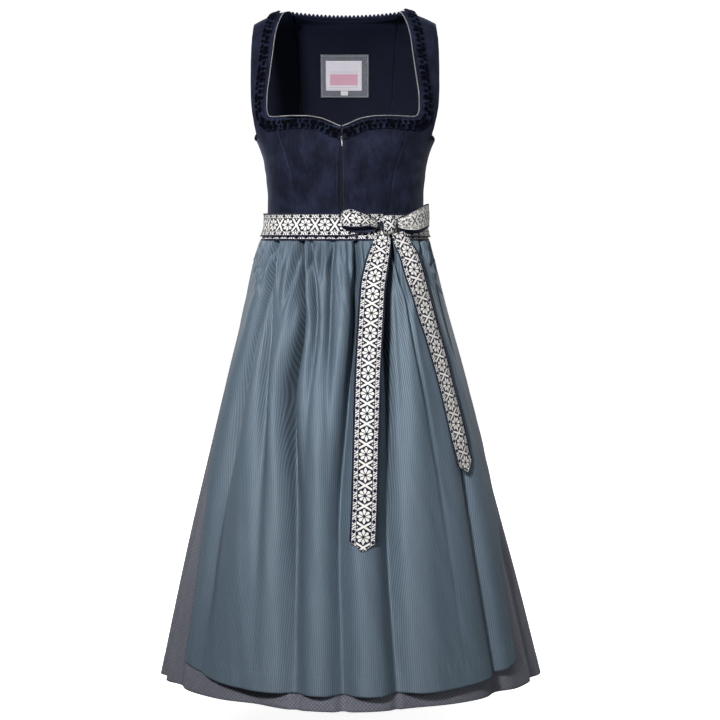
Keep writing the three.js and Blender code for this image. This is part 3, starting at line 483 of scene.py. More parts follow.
def tube(name, line, normal, radius, sides, material, turns_per_mm=0.0, ridge=0.0, **options):
    """A cord along a line of points, its surface twisted into strands."""
    tangent = unit(np.gradient(line, axis=0))
    side = unit(np.cross(tangent, normal))
    up = np.cross(side, tangent)
    along = lengths(line[None], 1, 0)[0]
    around = np.linspace(0, 2 * np.pi, sides, endpoint=False)
    thick = radius * (1 + ridge * np.cos(2 * (around[None] - 2 * np.pi * turns_per_mm * along[:, None])))
    ring = side[:, None] * np.cos(around)[:, None] + up[:, None] * np.sin(around)[:, None]
    points = (line[:, None] + ring * thick[..., None]).reshape(-1, 3)
    count = len(line)
    index = np.arange(count * sides).reshape(count, sides)
    after = np.roll(index, -1, axis=1)
    quads = np.stack([index[:-1], index[1:], after[1:], after[:-1]], -1).reshape(-1, 4).tolist()
    quads.append(index[0].tolist())
    quads.append(index[-1, ::-1].tolist())
    uv = np.stack(np.broadcast_arrays(along[:, None], (radius * around)[None]), -1).reshape(-1, 2)
    make(name, points, quads, uv, [material], **options)


def stitches(name, line, normal, pitch, length, radius, material):
    """A row of short rounded stitches along a line, slightly sunk in the cloth."""
    along = lengths(line[None], 1, 0)[0]
    count = int(along[-1] / pitch)
    starts = (np.arange(count) + 0.5) * pitch
    spread = np.array([-0.5, -0.32, 0, 0.32, 0.5]) * length
    fat = np.array([0.35, 0.85, 1, 0.85, 0.35]) * radius
    where = starts[:, None] + spread[None]
    at = np.stack([np.interp(where, along, line[:, k]) for k in range(3)], -1)
    out = unit(np.stack([np.interp(where, along, normal[:, k]) for k in range(3)], -1))
    tangent = unit(np.gradient(at, axis=1))
    side = unit(np.cross(tangent, out))
    around = np.linspace(0, 2 * np.pi, 6, endpoint=False)
    ring = side[:, :, None] * np.cos(around)[:, None] + out[:, :, None] * np.sin(around)[:, None]
    points = (at[:, :, None] + ring * fat[None, :, None, None]).reshape(-1, 3)
    one = np.arange(30).reshape(5, 6)
    after = np.roll(one, -1, axis=1)
    quads = np.stack([one[:-1], after[:-1], after[1:], one[1:]], -1).reshape(-1, 4)
    faces = (quads[None] + 30 * np.arange(count)[:, None, None]).reshape(-1, 4).tolist()
    for k in range(count):
        faces.append((one[0][::-1] + 30 * k).tolist())
        faces.append((one[-1] + 30 * k).tolist())
    make(name, points, faces, np.zeros((len(points), 2)), [material])


# Materials
class Number:
    """A number at each point of a material, worked out by math nodes."""

    def __init__(self, paint, socket):
        self.paint = paint
        self.socket = socket

    def math(self, operation, *others):
        node = self.paint.tree.nodes.new("ShaderNodeMath")
        node.operation = operation
        for place, value in zip(node.inputs, (self, *others)):
            self.paint.feed(place, value)
        return Number(self.paint, node.outputs[0])

    def __add__(self, other):
        return self.math("ADD", other)

    def __sub__(self, other):
        return self.math("SUBTRACT", other)

    def __mul__(self, other):
        return self.math("MULTIPLY", other)

    def __truediv__(self, other):
        return self.math("DIVIDE", other)

    __radd__ = __add__
    __rmul__ = __mul__

    def __rsub__(self, other):
        return (self * -1.0) + other

    def abs(self):
        return self.math("ABSOLUTE")

    def wave(self, period):
        """A sine wave from -1 to 1."""
        return (self * (2 * math.pi / period)).math("SINE")

    def ribs(self, period):
        """A sine wave from 0 to 1."""
        return self.wave(period) * 0.5 + 0.5

    def least(self, other):
        return self.math("MINIMUM", other)

    def most(self, other):
        return self.math("MAXIMUM", other)

    def over(self, pitch):
        """The place within its repeat, from -pitch / 2 to pitch / 2."""
        return self.math("FLOORED_MODULO", pitch) - pitch / 2

    def step(self, low, high):
        """0 below low and 1 above high, smoothly between."""
        node = self.paint.tree.nodes.new("ShaderNodeMapRange")
        node.interpolation_type = "SMOOTHSTEP"
        self.paint.feed(node.inputs["Value"], self)
        node.inputs["From Min"].default_value = low
        node.inputs["From Max"].default_value = high
        return Number(self.paint, node.outputs["Result"])


class Paint:
    """A material under construction."""

    def __init__(
        self, name, roughness, sheen=0.0, sheen_tint=(1, 1, 1), sheen_roughness=0.5, metallic=0.0, specular=0.5
    ):
        self.material = bpy.data.materials.new(name)
        self.material.use_nodes = True
        self.tree = self.material.node_tree
        self.shader = self.tree.nodes["Principled BSDF"]
        self.shader.inputs["Roughness"].default_value = roughness
        self.shader.inputs["Metallic"].default_value = metallic
        self.shader.inputs["Specular IOR Level"].default_value = specular
        self.shader.inputs["Sheen Weight"].default_value = sheen
        self.shader.inputs["Sheen Roughness"].default_value = sheen_roughness
        self.shader.inputs["Sheen Tint"].default_value = (*sheen_tint, 1)
        coordinates = self.tree.nodes.new("ShaderNodeTexCoord")
        self.object_place = coordinates.outputs["Object"]
        self.cloth_place = coordinates.outputs["UV"]

    def feed(self, place, value):
        if isinstance(value, Number):
            self.tree.links.new(value.socket, place)
        else:
            place.default_value = value

    def cloth(self):
        """Millimetres along and across the cloth."""
        split = self.tree.nodes.new("ShaderNodeSeparateXYZ")
        self.tree.links.new(self.cloth_place, split.inputs[0])
        return Number(self, split.outputs[0]) * 1000.0, Number(self, split.outputs[1]) * 1000.0

    def noise(self, size, detail=2.0, stretch=(1, 1, 1), on_cloth=False):
        """Uneven values from 0 to 1, with patches of about this size in millimetres."""
        scale = self.tree.nodes.new("ShaderNodeMapping")
        scale.inputs["Scale"].default_value = tuple(1000.0 / size * s for s in stretch)
        self.tree.links.new(self.cloth_place if on_cloth else self.object_place, scale.inputs["Vector"])
        node = self.tree.nodes.new("ShaderNodeTexNoise")
        node.inputs["Scale"].default_value = 1.0
        node.inputs["Detail"].default_value = detail
        self.tree.links.new(scale.outputs[0], node.inputs["Vector"])
        return Number(self, node.outputs[0])

    def blend(self, share, low, high):
        """A colour between low and high, each a colour or a socket."""
        node = self.tree.nodes.new("ShaderNodeMix")
        node.data_type = "RGBA"
        self.feed(node.inputs[0], share)
        for place, value in ((node.inputs[6], low), (node.inputs[7], high)):
            if isinstance(value, tuple):
                place.default_value = (*value, 1)
            else:
                self.tree.links.new(value, place)
        return node.outputs[2]

    def color(self, value):
        self.tree.links.new(value, self.shader.inputs["Base Color"])

    def roughness(self, value):
        self.feed(self.shader.inputs["Roughness"], value)

    def relief(self, height, depth):
        """Bump from a height of 0 to 1, this many millimetres deep."""
        node = self.tree.nodes.new("ShaderNodeBump")
        node.inputs["Strength"].default_value = 1
        node.inputs["Distance"].default_value = depth * 0.001
        self.feed(node.inputs["Height"], height)
        self.tree.links.new(node.outputs[0], self.shader.inputs["Normal"])


def velvet_material():
    paint = Paint("velvet", 0.9, sheen=0.13, sheen_tint=(0.4, 0.46, 0.8), sheen_roughness=0.4, specular=0.12)
    patches = paint.noise(26, 3, (1, 1, 0.7)).step(0.35, 0.68)
    streaks = paint.noise(7, 3, (1.4, 1, 0.6)).step(0.3, 0.75)
    grain = paint.noise(0.9, 2)
    share = patches * 0.5 + streaks * 0.32 + grain * 0.3
    paint.color(paint.blend(share, (0.0014, 0.0019, 0.0056), (0.0112, 0.0142, 0.0315)))
    paint.relief(grain * 0.7 + streaks * 0.5, 0.28)
    return paint.material


def lining_material():
    paint = Paint("lining", 0.8, sheen=0.12, sheen_tint=(0.3, 0.4, 0.8), specular=0.08)
    cloudy = paint.noise(40, 2)
    fine = paint.noise(0.8, 1, (1, 1, 3))
    paint.color(paint.blend(cloudy * 0.7 + fine * 0.3, (0.0016, 0.0026, 0.0065), (0.0038, 0.0054, 0.0125)))
    paint.relief(fine, 0.12)
    return paint.material


def trim_material(name, hollows):
    paint = Paint(name, 0.8, sheen=0.05, sheen_tint=(0.3, 0.38, 0.8), specular=0.03)
    fine = paint.noise(0.6, 2)
    cloudy = paint.noise(5, 2).step(0.35, 0.7)
    puffs = paint.blend(cloudy * 0.6 + fine * 0.4, (0.0035, 0.0046, 0.0115), (0.016, 0.021, 0.042))
    # Painted shade: where the cloth map's second coordinate marks a hollow, the colour turns near black in
    # place of the shade that falls in the trim's hollows.
    if hollows:
        depth = paint.cloth()[1] / 10.0
        puffs = paint.blend(depth.step(0.08, 0.42), puffs, (0.0004, 0.0005, 0.0012))
    paint.color(puffs)
    paint.relief(fine, 0.2)
    return paint.material


def piping_material():
    paint = Paint("piping", 0.42, sheen=0.2, metallic=0.35)
    along, around = paint.cloth()
    strand = (along * (2 * math.pi / 1.7) + around * 2.0).math("SINE") * 0.5 + 0.5
    paint.color(paint.blend(strand.step(0.1, 0.9), (0.06, 0.06, 0.06), (0.36, 0.355, 0.345)))
    paint.relief(strand, 0.2)
    return paint.material


def skirt_material():
    paint = Paint("skirt_cloth", 0.7, metallic=0.2, specular=0.2)
    along, down = paint.cloth()
    pitch = 4.2
    one = (along + down) / math.sqrt(2)
    other = (along - down) / math.sqrt(2)
    near_line = one.over(pitch).abs().least(other.over(pitch).abs())
    dashes = along.wave(1.1) * down.wave(1.1)
    light = near_line.step(0.45, 0.15) * dashes.step(-0.4, 0.4)
    middle = one.over(pitch).abs().most(other.over(pitch).abs()).step(1.75, 1.25)
    ground = paint.noise(1.0, 2) * 0.5 + paint.noise(60, 2) * 0.5
    base = paint.blend(ground, (0.072, 0.077, 0.098), (0.118, 0.123, 0.152))
    dotted = paint.blend(light * 0.85, base, (0.34, 0.34, 0.37))
    paint.color(paint.blend(middle * near_line.step(0.5, 1.0) * 0.55, dotted, (0.03, 0.03, 0.05)))
    paint.relief(light * 0.6 + paint.noise(0.8, 2) * 0.5, 0.25)
    return paint.material


def apron_material():
    paint = Paint("apron_cloth", 0.6, metallic=0.12, specular=0.25)
    along, down = paint.cloth()
    sway = paint.noise(90, 1, (1, 0.15, 1), on_cloth=True) * 3.0
    stripe = (along + sway).ribs(2.9)
    slub = paint.noise(1.6, 2, (1, 0.04, 1), on_cloth=True)
    cloudy = paint.noise(120, 2, (1, 0.5, 1), on_cloth=True)
    weft = down.ribs(0.9)
    share = stripe * 0.55 + slub * 0.35 + weft * 0.1
    dark = paint.blend(cloudy, (0.025, 0.038, 0.053), (0.034, 0.047, 0.061))
    light = paint.blend(cloudy, (0.108, 0.155, 0.204), (0.13, 0.172, 0.212))
    paint.color(paint.blend(share, dark, light))
    paint.relief(stripe * 0.6 + slub * 0.4, 0.14)
    return paint.material


def ribbon_material(name, inverted):
    """A woven ribbon: eight-petalled flowers and crosses between two ladder borders, with a piped edge."""
    paint = Paint(name, 0.78, sheen=0.06, specular=0.12)
    along, across = paint.cloth()
    pitch = 30.8
    wave = paint.noise(4, 1, on_cloth=True) * 0.5 - 0.25
    along = along + wave
    y = across.abs()
    a = along.over(pitch)
    b = a.abs() - pitch / 2
    angle = across.math("ARCTAN2", a)
    radius = (a * a + across * across).math("SQRT")
    lobes = (angle * 4.0).math("COSINE").abs()
    petals = (lobes.math("POWER", 0.6) * 4.4 + 5.2 - radius).step(-0.25, 0.25)
    gaps = (radius * lobes).step(1.6, 2.7)
    flower = petals * gaps * radius.step(1.5, 2.1)
    cross = ((y - b.abs() * 1.62).abs() / 1.9).step(1.75, 1.25)
    end = (b.abs() - 5.4).abs() + y
    diamond = end.step(1.7, 1.2)
    side = b.abs() + (y - 9.0).abs()
    small = side.step(1.5, 1.0)
    field = flower.most(cross * radius.step(9.2, 9.9)).most(diamond).most(small) * y.step(10.0, 9.7)
    ladder = (along + across * 0.7).over(3.85).abs().step(0.7, 1.0)
    rail = (y - 13.7).abs().step(2.3, 2.6)
    dots = along.over(pitch / 2)
    dot_distance = (dots * dots * 0.7 + (y - 13.6) * (y - 13.6)).math("SQRT")
    dot_ring = dot_distance.step(2.3, 2.6)
    near_dot = dot_distance.step(3.3, 3.1)
    border = ladder.most(rail).most(near_dot) * dot_ring * y.step(10.7, 11.0) * y.step(16.3, 15.9)
    cream = field.most(border)
    if inverted:
        cream = (1.0 - cream * 0.85) * y.step(16.9, 16.6)
    thread = along.wave(0.75) * across.wave(0.75) * 0.5 + 0.5
    navy = paint.blend(thread, (0.0035, 0.0045, 0.014), (0.0095, 0.011, 0.028))
    white = paint.blend(thread, (0.5, 0.49, 0.46), (0.76, 0.75, 0.72))
    paint.color(paint.blend(cream, navy, white))
    paint.relief(cream * 0.6 + thread * 0.4, 0.3)
    return paint.material


def fine_material(name, roughness, size, detail, low, high, depth=0.0, **options):
    """Two close colours in fine patches."""
    paint = Paint(name, roughness, **options)
    fine = paint.noise(size, detail)
    paint.color(paint.blend(fine, low, high))
    if depth:
        paint.relief(fine, depth)
    return paint.material


def patch_material():
    paint = Paint("patch", 0.85, sheen=0.2, specular=0.25)
    heather = paint.noise(1.1, 3).step(0.3, 0.7)
    coarse = paint.noise(2.6, 1)
    paint.color(paint.blend(heather * 0.7 + coarse * 0.3, (0.025, 0.028, 0.036), (0.15, 0.155, 0.18)))
    paint.relief(heather, 0.25)
    return paint.material


def label_material(name, printed):
    paint = Paint(name, 0.45, sheen=0.2, specular=0.45)
    along, across = paint.cloth()
    weave = along.ribs(0.6)
    block = along.abs().step(23.4, 23.0) * (across + 6.5).abs().step(9.2, 8.8)
    upper = (across - 6.2).abs().step(0.5, 0.25) * along.abs().step(24.2, 23.8)
    lower = (across + 19.0).abs().step(0.5, 0.25) * along.abs().step(24.2, 23.8)
    ground = paint.blend(weave, (0.4, 0.385, 0.43), (0.48, 0.465, 0.51))
    pink = paint.blend(block, ground, (0.4, 0.22, 0.28))
    lined = paint.blend(upper.most(lower) * 0.7, pink, (0.2, 0.19, 0.24))
    paint.color(lined if printed else ground)
    paint.relief(weave, 0.08)
    return paint.material


def tape_material():
    paint = Paint("zip_tape", 0.8, sheen=0.1, specular=0.25)
    rib = paint.cloth()[0].ribs(1.2)
    paint.color(paint.blend(rib, (0.004, 0.005, 0.01), (0.012, 0.014, 0.025)))
    paint.relief(rib, 0.15)
    return paint.material


def metal_material(name, low, high):
    paint = Paint(name, 0.3, metallic=1.0)
    wear = paint.noise(3, 3).step(0.3, 0.8)
    paint.color(paint.blend(wear, low, high))
    paint.roughness(wear * 0.2 + 0.22)
    paint.relief(paint.noise(0.7, 2), 0.03)
    return paint.material


def thread_material(name, low, high):
    return fine_material(name, 0.65, 0.5, 1, low, high, sheen=0.1, specular=0.15)


VELVET = velvet_material()
LINING = lining_material()
# The neck trim's material has painted shade in its hollows; the edging's has none.
TRIM_PAINTED_SHADE = trim_material("trim", True)
EDGING = trim_material("edging", False)
PIPING = piping_material()
SKIRT = skirt_material()
APRON = apron_material()
RIBBON = ribbon_material("ribbon", False)
REVERSE = ribbon_material("ribbon_reverse", True)
NAVY = fine_material(
    "ribbon_back", 0.8, 0.8, 2, (0.006, 0.0075, 0.02), (0.014, 0.017, 0.04), 0.2,
    sheen=0.08, sheen_tint=(0.5, 0.55, 0.8), specular=0.25,
)
PATCH = patch_material()
LABEL = label_material("label", True)
TAB = label_material("size_tab", False)
TAPE = tape_material()
COIL = fine_material("zip_coil", 0.55, 1.5, 2, (0.004, 0.005, 0.008), (0.012, 0.014, 0.02), specular=0.12)
METAL = metal_material("zip_metal", (0.16, 0.16, 0.165), (0.32, 0.32, 0.33))
DARK_METAL = metal_material("zip_dark_metal", (0.004, 0.005, 0.008), (0.012, 0.014, 0.02))
NAVY_THREAD = thread_material("navy_thread", (0.003, 0.004, 0.011), (0.01, 0.013, 0.029))
APRON_THREAD = thread_material("apron_thread", (0.04, 0.055, 0.075), (0.08, 0.1, 0.125))
GREY_THREAD = thread_material("grey_thread", (0.3, 0.3, 0.33), (0.5, 0.5, 0.54))

SIDES = (("right", -1), ("left", 1))

# Soft creases of the bodice for each side: x and z of the middle, half length, half width, tilt in degrees
# and depth
FRONT_CREASES = {
    -1: [(-104, -232, 22, 7, 28, 0.9), (-92, -300, 30, 9, -12, 0.7), (-60, -330, 34, 7, 6, 0.8),
         (-112, -268, 16, 6, -24, 0.7), (-36, -262, 9, 34, 8, 0.6), (-128, -120, 8, 26, 6, 0.6)],
    1: [(108, -238, 20, 7, -32, 0.9), (96, -292, 28, 9, 14, 0.8), (52, -322, 30, 8, -8, 0.7),
        (114, -262, 15, 6, 20, 0.6), (30, -282, 8, 30, -6, 0.6), (126, -110, 8, 26, -8, 0.6)],
}
BACK_CREASES = [
    (-70, -322, 34, 7, 7, 0.9), (64, -314, 36, 8, -9, 0.8), (-30, -296, 28, 7, 5, 0.6),
    (88, -272, 24, 8, 14, 0.7), (-96, -282, 22, 7, -13, 0.8), (-104, -212, 18, 7, 24, 0.7),
    (102, -220, 18, 7, -26, 0.6), (20, -334, 32, 6, 3, 0.7),
]


def creases(points, table):
    """How far soft creases go in at these points."""
    total = 0
    for x, z, long, wide, tilt, depth in table:
        turn = math.radians(tilt)
        right = (points[..., 0] - x) * math.cos(turn) + (points[..., 2] - z) * math.sin(turn)
        up = (points[..., 2] - z) * math.cos(turn) - (points[..., 0] - x) * math.sin(turn)
        total = total + depth * bump(right, long) * (bump(up, wide) - 0.45 * bump(up - 1.6 * wide, wide))
    return total


def seam_dip(distance):
    """How far a panel dips, this far from a seam."""
    return 0.6 * bump(distance, 1.5)


def panel(
    node, rows, columns, steps, wall, on_back, side, table, rolls, material=VELVET, slot="velvet", low=0.0,
    inset=SEAM_GAP / 2,
):
    """A body panel between its inner and outer edges; rolls says how far each of the two is a seam."""
    u, v = grid(columns, steps)
    inner_x, inner_z, outer_x, outer_z = path(rows)(v)
    inner_x, outer_x = inner_x + inset, outer_x - inset
    if on_back:
        inner_x, outer_x = TORSO_MIDDLE + side * inner_x, TORSO_MIDDLE + side * outer_x
    else:
        inner_x, outer_x = from_middle(inner_x, side), from_middle(outer_x, side)
    start = torso_place(inner_x, inner_z, on_back)
    end = torso_place(outer_x, outer_z, on_back)
    angle, root = mix(start[0], end[0], u), mix(start[1], end[1], u)
    base, normal = torso(angle, root), torso_normal(angle, root)
    across = lengths(base, 1, 0)
    width = across[:, -1:]
    dip = rolls[0] * seam_dip(across) + rolls[1] * seam_dip(width - across)
    pucker = 0.16 * np.sin(v * 95 + side) * (rolls[0] * bump(across, 7) + rolls[1] * bump(width - across, 7))
    lift = wall - dip + pucker - creases(base, table)
    uneven = 0.25 * wander(base[..., 0] * 0.05 + base[..., 2] * 0.021, 1.3)
    points = base + normal * (low + lift + uneven)[..., None]
    points[..., 1] += SEAM_GAP / 2 if on_back else -SEAM_GAP / 2
    uv = (across, lengths(base, 0, 0))
    flip = (side > 0) == on_back
    shell(node + "_cloth", points, wall, uv, material, flip=flip, replaces=[node], slot=slot)


for side_name, side in SIDES:
    folds = FRONT_CREASES[side]
    panel(f"front_center_{side_name}", FRONT_CENTER_ROWS, 44, 90, BODICE_WALL, False, side, folds, (0.5, 1))
    panel(f"front_side_{side_name}", FRONT_SIDE_ROWS, 36, 150, BODICE_WALL, False, side, folds, (1, 0.6))
    panel(f"back_side_{side_name}", BACK_SIDE_ROWS, 40, 120, BACK_WALL, True, side, BACK_CREASES, (1, 0.6))
    panel(
        f"lining_side_{side_name}", BACK_SIDE_ROWS, 24, 60, LINING_WALL, True, side, [], (1, 0),
        LINING, "lining", LINING_FACE, 1,
    )


def center_panel(node, columns, steps, wall, table, material, slot, low, inset):
    """The back's middle panel or its lining, which has no seam dips."""
    u, v = grid(columns, steps)
    _, mid_z, edge_x, edge_z = path(BACK_CENTER_ROWS)(v)
    across = 2 * u - 1
    x = across * (edge_x - inset)
    z = mix(mid_z, edge_z, across * across)
    base = over_torso(TORSO_MIDDLE + x, z, 0 * x, True)
    place = torso_place(TORSO_MIDDLE + x, z, True)
    side = np.minimum(edge_x - x, edge_x + x)
    dip = seam_dip(side) if table else 0
    uneven = 0.25 * wander(base[..., 0] * 0.04 + base[..., 2] * 0.02, 2.1)
    lift = low + wall - dip - creases(base, table) + uneven
    points = base + torso_normal(*place) * lift[..., None]
    points[..., 1] += SEAM_GAP / 2
    uv = (lengths(base, 1, 0.5), lengths(base, 0, 0))
    shell(node + "_cloth", points, wall, uv, material, flip=True, replaces=[node], slot=slot)


center_panel("back_center", 60, 90, BACK_WALL, BACK_CREASES, VELVET, "velvet", 0, SEAM_GAP / 2)
center_panel("lining_center", 40, 60, LINING_WALL, [], LINING, "lining", LINING_FACE, 1)

# Neckline
neckline_path = path(NECKLINE)


def neckline_place(share, side):
    x, z = neckline_path(np.clip(share, 0, 1))
    return torso_place(from_middle(x, side), z, False)


def beside_neckline(share, side, away, lift):
    """A point beside the front neckline, moved away from the opening and off the bodice."""
    share, away, lift = np.broadcast_arrays(share, away, lift)
    step = 0.004
    place = neckline_place(share, side)
    along = torso(*neckline_place(share + step, side)) - torso(*neckline_place(share - step, side))
    out = unit(np.cross(along, torso_normal(*place))) * side
    out = unit(mix(out, np.array([0, 0, -1.0]), np.maximum(0, 1 - share / 0.08)[..., None]))
    edge = torso(*place) + out * away[..., None]
    points = over_torso(edge[..., 0], edge[..., 2], lift, False)
    points[..., 1] -= SEAM_GAP / 2
    return points


def even_shares(side, start, end, steps):
    fine = np.linspace(0, 1, 801)
    along = lengths(beside_neckline(fine, side, 0.0, 0.0)[None], 1, 0)[0]
    return np.interp(np.linspace(start, end, steps + 1) * along[-1], along, fine)


TRIM_NEAR = 3.2
TRIM_FAR = 20.5
TRIM_PLEATS = 36


def neck_trim(node, side):
    """Ruched trim: puffs between two staggered rows of hollows."""
    per_pleat = 12
    columns = TRIM_PLEATS * per_pleat
    shares = even_shares(side, 0.006, 0.99, columns)
    turns = np.arange(columns + 1) / per_pleat
    across = np.linspace(-1, 1, 22)
    turn, t = np.meshgrid(turns, across)
    bend = turn + 0.2 * wander(turn * 1.3, 3.0 + side) + 0.1 * wander(t * 2 + turn * 3.1, 0.7)
    near = np.abs((bend + 0.5) % 1 - 0.5)
    far = np.abs(bend % 1 - 0.5)
    size = 1 + 0.36 * wander(turn * 2.1, 1.0)
    hole = np.maximum(
        np.exp(-((near / 0.35 * size) ** 2) - ((t + 0.42) / 0.42 * size) ** 2),
        np.exp(-((far / 0.35 * size) ** 2) - ((t - 0.42) / 0.42 * size) ** 2),
    )
    crown = np.maximum(0, 1 - t ** 6) ** 0.5
    ribs = 0.14 * np.sin(turn * 2 * np.pi * 4 + 4 * t)
    swell = 0.82 + 0.12 * np.cos(4 * np.pi * bend)
    height = 0.7 + 3.6 * crown * (1 - 0.96 * hole) * swell + ribs * crown
    scallop = 1 + 0.09 * np.where(t < 0, -1, 1) * np.cos(2 * np.pi * bend) * np.abs(t) ** 3
    away = mix(TRIM_NEAR, TRIM_FAR, 0.5 + 0.46 * t * scallop)
    share = np.broadcast_to(shares[None], turn.shape)
    points = beside_neckline(share, side, away, BODICE_WALL + 0.9 + height)
    # The cloth map's second coordinate carries the hollow mask, which the trim material uses to paint shade
    # into the hollows.
    uv = (lengths(points, 1, 0), 10 * hole)
    shell(node + "_ruche", points, 0.8, uv, TRIM_PAINTED_SHADE, flip=side > 0, replaces=[node], slot="trim")


for side_name, side in SIDES:
    neck_trim(f"neck_trim_{side_name}", side)
    shares = even_shares(side, 0.004, 0.972, 520)
    line = beside_neckline(shares, side, -1.5, BODICE_WALL / 2)
    normal = torso_normal(*neckline_place(shares, side))
    tube(
        f"neck_piping_{side_name}_cord", line, normal, 0.7, 10, PIPING, turns_per_mm=0.28, ridge=0.13,
        replaces=[f"neck_piping_{side_name}"], slot="piping",
    )


# Picot edging of the back neckline
def picot():
    count = 27
    _, middle_z, edge_x, edge_z = BACK_CENTER_ROWS[-1]
    t = np.linspace(0, 1, count * 16 + 1)
    across = 2 * t - 1
    x = TORSO_MIDDLE + across * (edge_x + 3)
    z = mix(middle_z, edge_z, across * across)
    wave = (0.5 - 0.5 * np.cos(2 * np.pi * count * t)) ** 0.8
    line = over_torso(x, z, 0.8 + 0 * z, True)
    line[:, 2] += 1.2 + 3.8 * wave
    tube(
        "back_neck_picot_cord", line, torso_normal(*torso_place(x, z, True)), 0.55, 8, EDGING, turns_per_mm=0.3,
        ridge=0.1, replaces=["back_neck_picot"], slot="trim",
    )
    foot = over_torso(x, z, 0.6 + 0 * z, True)
    foot[:, 2] -= 0.6
    web = np.stack([mix(foot, line, share) for share in np.linspace(0, 1, 5)])
    along = np.broadcast_to(np.cumsum(np.full(len(t), 0.4)), web.shape[:2])
    shell("back_neck_picot_web", web, 0.7, (along, web[..., 2]), EDGING, flip=True, slot="trim")


picot()


# Labels inside the back
def inside_back(node, center_x, center_z, width, height, face, wall, material, slot, ruffle):
    u, v = grid(30, 26)
    x = center_x + (u - 0.5) * width
    z = center_z + (v - 0.5) * height
    rim = np.minimum(np.minimum(u, 1 - u) * width, np.minimum(v, 1 - v) * height)
    lift = face - wall + 0.25 * wander(x * 0.09 + z * 0.05, 1.0) * ruffle + 0.3 * bump(rim - 1.6, 0.8)
    points = over_torso(x, z, lift, True)
    points[..., 1] += SEAM_GAP / 2
    uv = (x - center_x, z - center_z)
    shell(node + "_cloth", points, wall, uv, material, replaces=[node], slot=slot)


PATCH_FACE = LINING_FACE - 1.8
LABEL_FACE = PATCH_FACE - 1.4
PATCH_PLACE = (0.8, -98.5, 79.4, 69.4)
inside_back("label_patch", *PATCH_PLACE, PATCH_FACE, 0.8, PATCH, "patch", 1)
inside_back("woven_label", -0.8, -97.6, 59.4, 48, LABEL_FACE, 0.7, LABEL, "label", 0.6)
inside_back("size_tab", 0, -125.8, 11.6, 7, LABEL_FACE, 0.7, TAB, "label", 0.2)


def patch_stitches(center_x, center_z, width, height):
    """Stitches all round the patch, a little inside its edges."""
    inset = 1.8
    t = np.linspace(0, 4, 161)
    x = np.interp(t, range(5), np.array([-1, 1, 1, -1, -1]) * (width / 2 - inset)) + center_x
    z = np.interp(t, range(5), np.array([-1, -1, 1, 1, -1]) * (height / 2 - inset)) + center_z
    line = over_torso(x, z, 0 * x + PATCH_FACE - 0.85, True)
    line[:, 1] += SEAM_GAP / 2
    normal = -torso_normal(*torso_place(x, z, True))
    stitches("patch_stitches", line, normal, 2.9, 2.1, 0.28, GREY_THREAD)


patch_stitches(*PATCH_PLACE)

# Front zip: tape, coil, slider and pull
zip_heights = path([(row[1],) for row in FRONT_CENTER_ROWS])


def zip_tape():
    u, v = grid(8, 60)
    z = zip_heights(v)[0] - 0.8
    x = (u - 0.5) * 22 + FRONT_LINE
    points = over_torso(x, z, 0 * x - 0.6, False)
    shell("zip_tape_cloth", points, 1, (z - z.min(), x), TAPE, replaces=["zip_tape"], slot="zip_tape")


zip_tape()


def zip_coil():
    """Interlocked turns of the coil, seen in the slit."""
    all_points, all_faces = [], []
    around = np.linspace(0, 2 * np.pi, 8, endpoint=False)
    for k, drop in enumerate(np.linspace(212, 345, 92)):
        x = FRONT_LINE + (0.55 if k % 2 else -0.55)
        base = over_torso(np.array(x), np.array(-drop), np.array(0.1), False)
        for end, fat in ((-1.25, 0.25), (-0.9, 0.5), (0.9, 0.5), (1.25, 0.25)):
            ring = np.stack([0 * around + end, fat * np.cos(around) - 0.3, fat * np.sin(around)], -1)
            all_points.append(base + ring)
        first = 32 * k
        for j in range(3):
            for i in range(8):
                a, b = first + 8 * j + i, first + 8 * j + (i + 1) % 8
                all_faces.append((a, b, b + 8, a + 8))
        all_faces.append(tuple(first + i for i in range(7, -1, -1)))
        all_faces.append(tuple(first + 24 + i for i in range(8)))
    make("zip_coil_turns", np.concatenate(all_points), all_faces, None, [COIL], slot="zip_tape")


zip_coil()
TAPE_FRONT = float(over_torso(np.array(FRONT_LINE), np.array(-210.0), np.array(0.0), False)[1])
PULL_BACK = TAPE_FRONT - BODICE_WALL - 2.4


def rounded_block(name, outline, back, depth, bevel, material, body, node, place, lean=0.0, hole=None):
    """A plate with rounded edges from its outline in x and z."""
    data = bpy.data.curves.new(name, "CURVE")
    data.dimensions = "2D"
    data.fill_mode = "BOTH"
    data.extrude = (depth / 2 - bevel) * 0.001
    data.bevel_depth = bevel * 0.001
    data.bevel_resolution = 3
    for ring in (outline, hole) if hole else (outline,):
        spline = data.splines.new("POLY")
        spline.points.add(len(ring) - 1)
        for point, (x, z) in zip(spline.points, ring):
            point.co = (x * 0.001, z * 0.001, 0, 1)
        spline.use_cyclic_u = True
    holder = in_scene(name + "_outline", data)
    evaluated = holder.evaluated_get(bpy.context.evaluated_depsgraph_get())
    mesh = bpy.data.meshes.new_from_object(evaluated)
    bpy.data.objects.remove(holder)
    turn = np.array([[math.cos(lean), math.sin(lean)], [-math.sin(lean), math.cos(lean)]])
    for vertex in mesh.vertices:
        x, z = turn @ np.array([vertex.co.x, vertex.co.y])
        vertex.co = (x + place[0] * 0.001, (back - depth / 2) * 0.001 + vertex.co.z, z + place[1] * 0.001)
    mesh.materials.clear()
    mesh.materials.append(material)
    mesh.polygons.foreach_set("use_smooth", [True] * len(mesh.polygons))
    obj = enter(name, mesh, body, [node], "zip_metal")
    obj.modifiers.new("edges", "EDGE_SPLIT").split_angle = math.radians(50)


def arc(z, radius, start, end, steps):
    """Points round a circle that is centred this high on the middle line."""
    turns = np.radians(np.linspace(start, end, steps))
    return [(radius * math.cos(turn), z + radius * math.sin(turn)) for turn in turns]


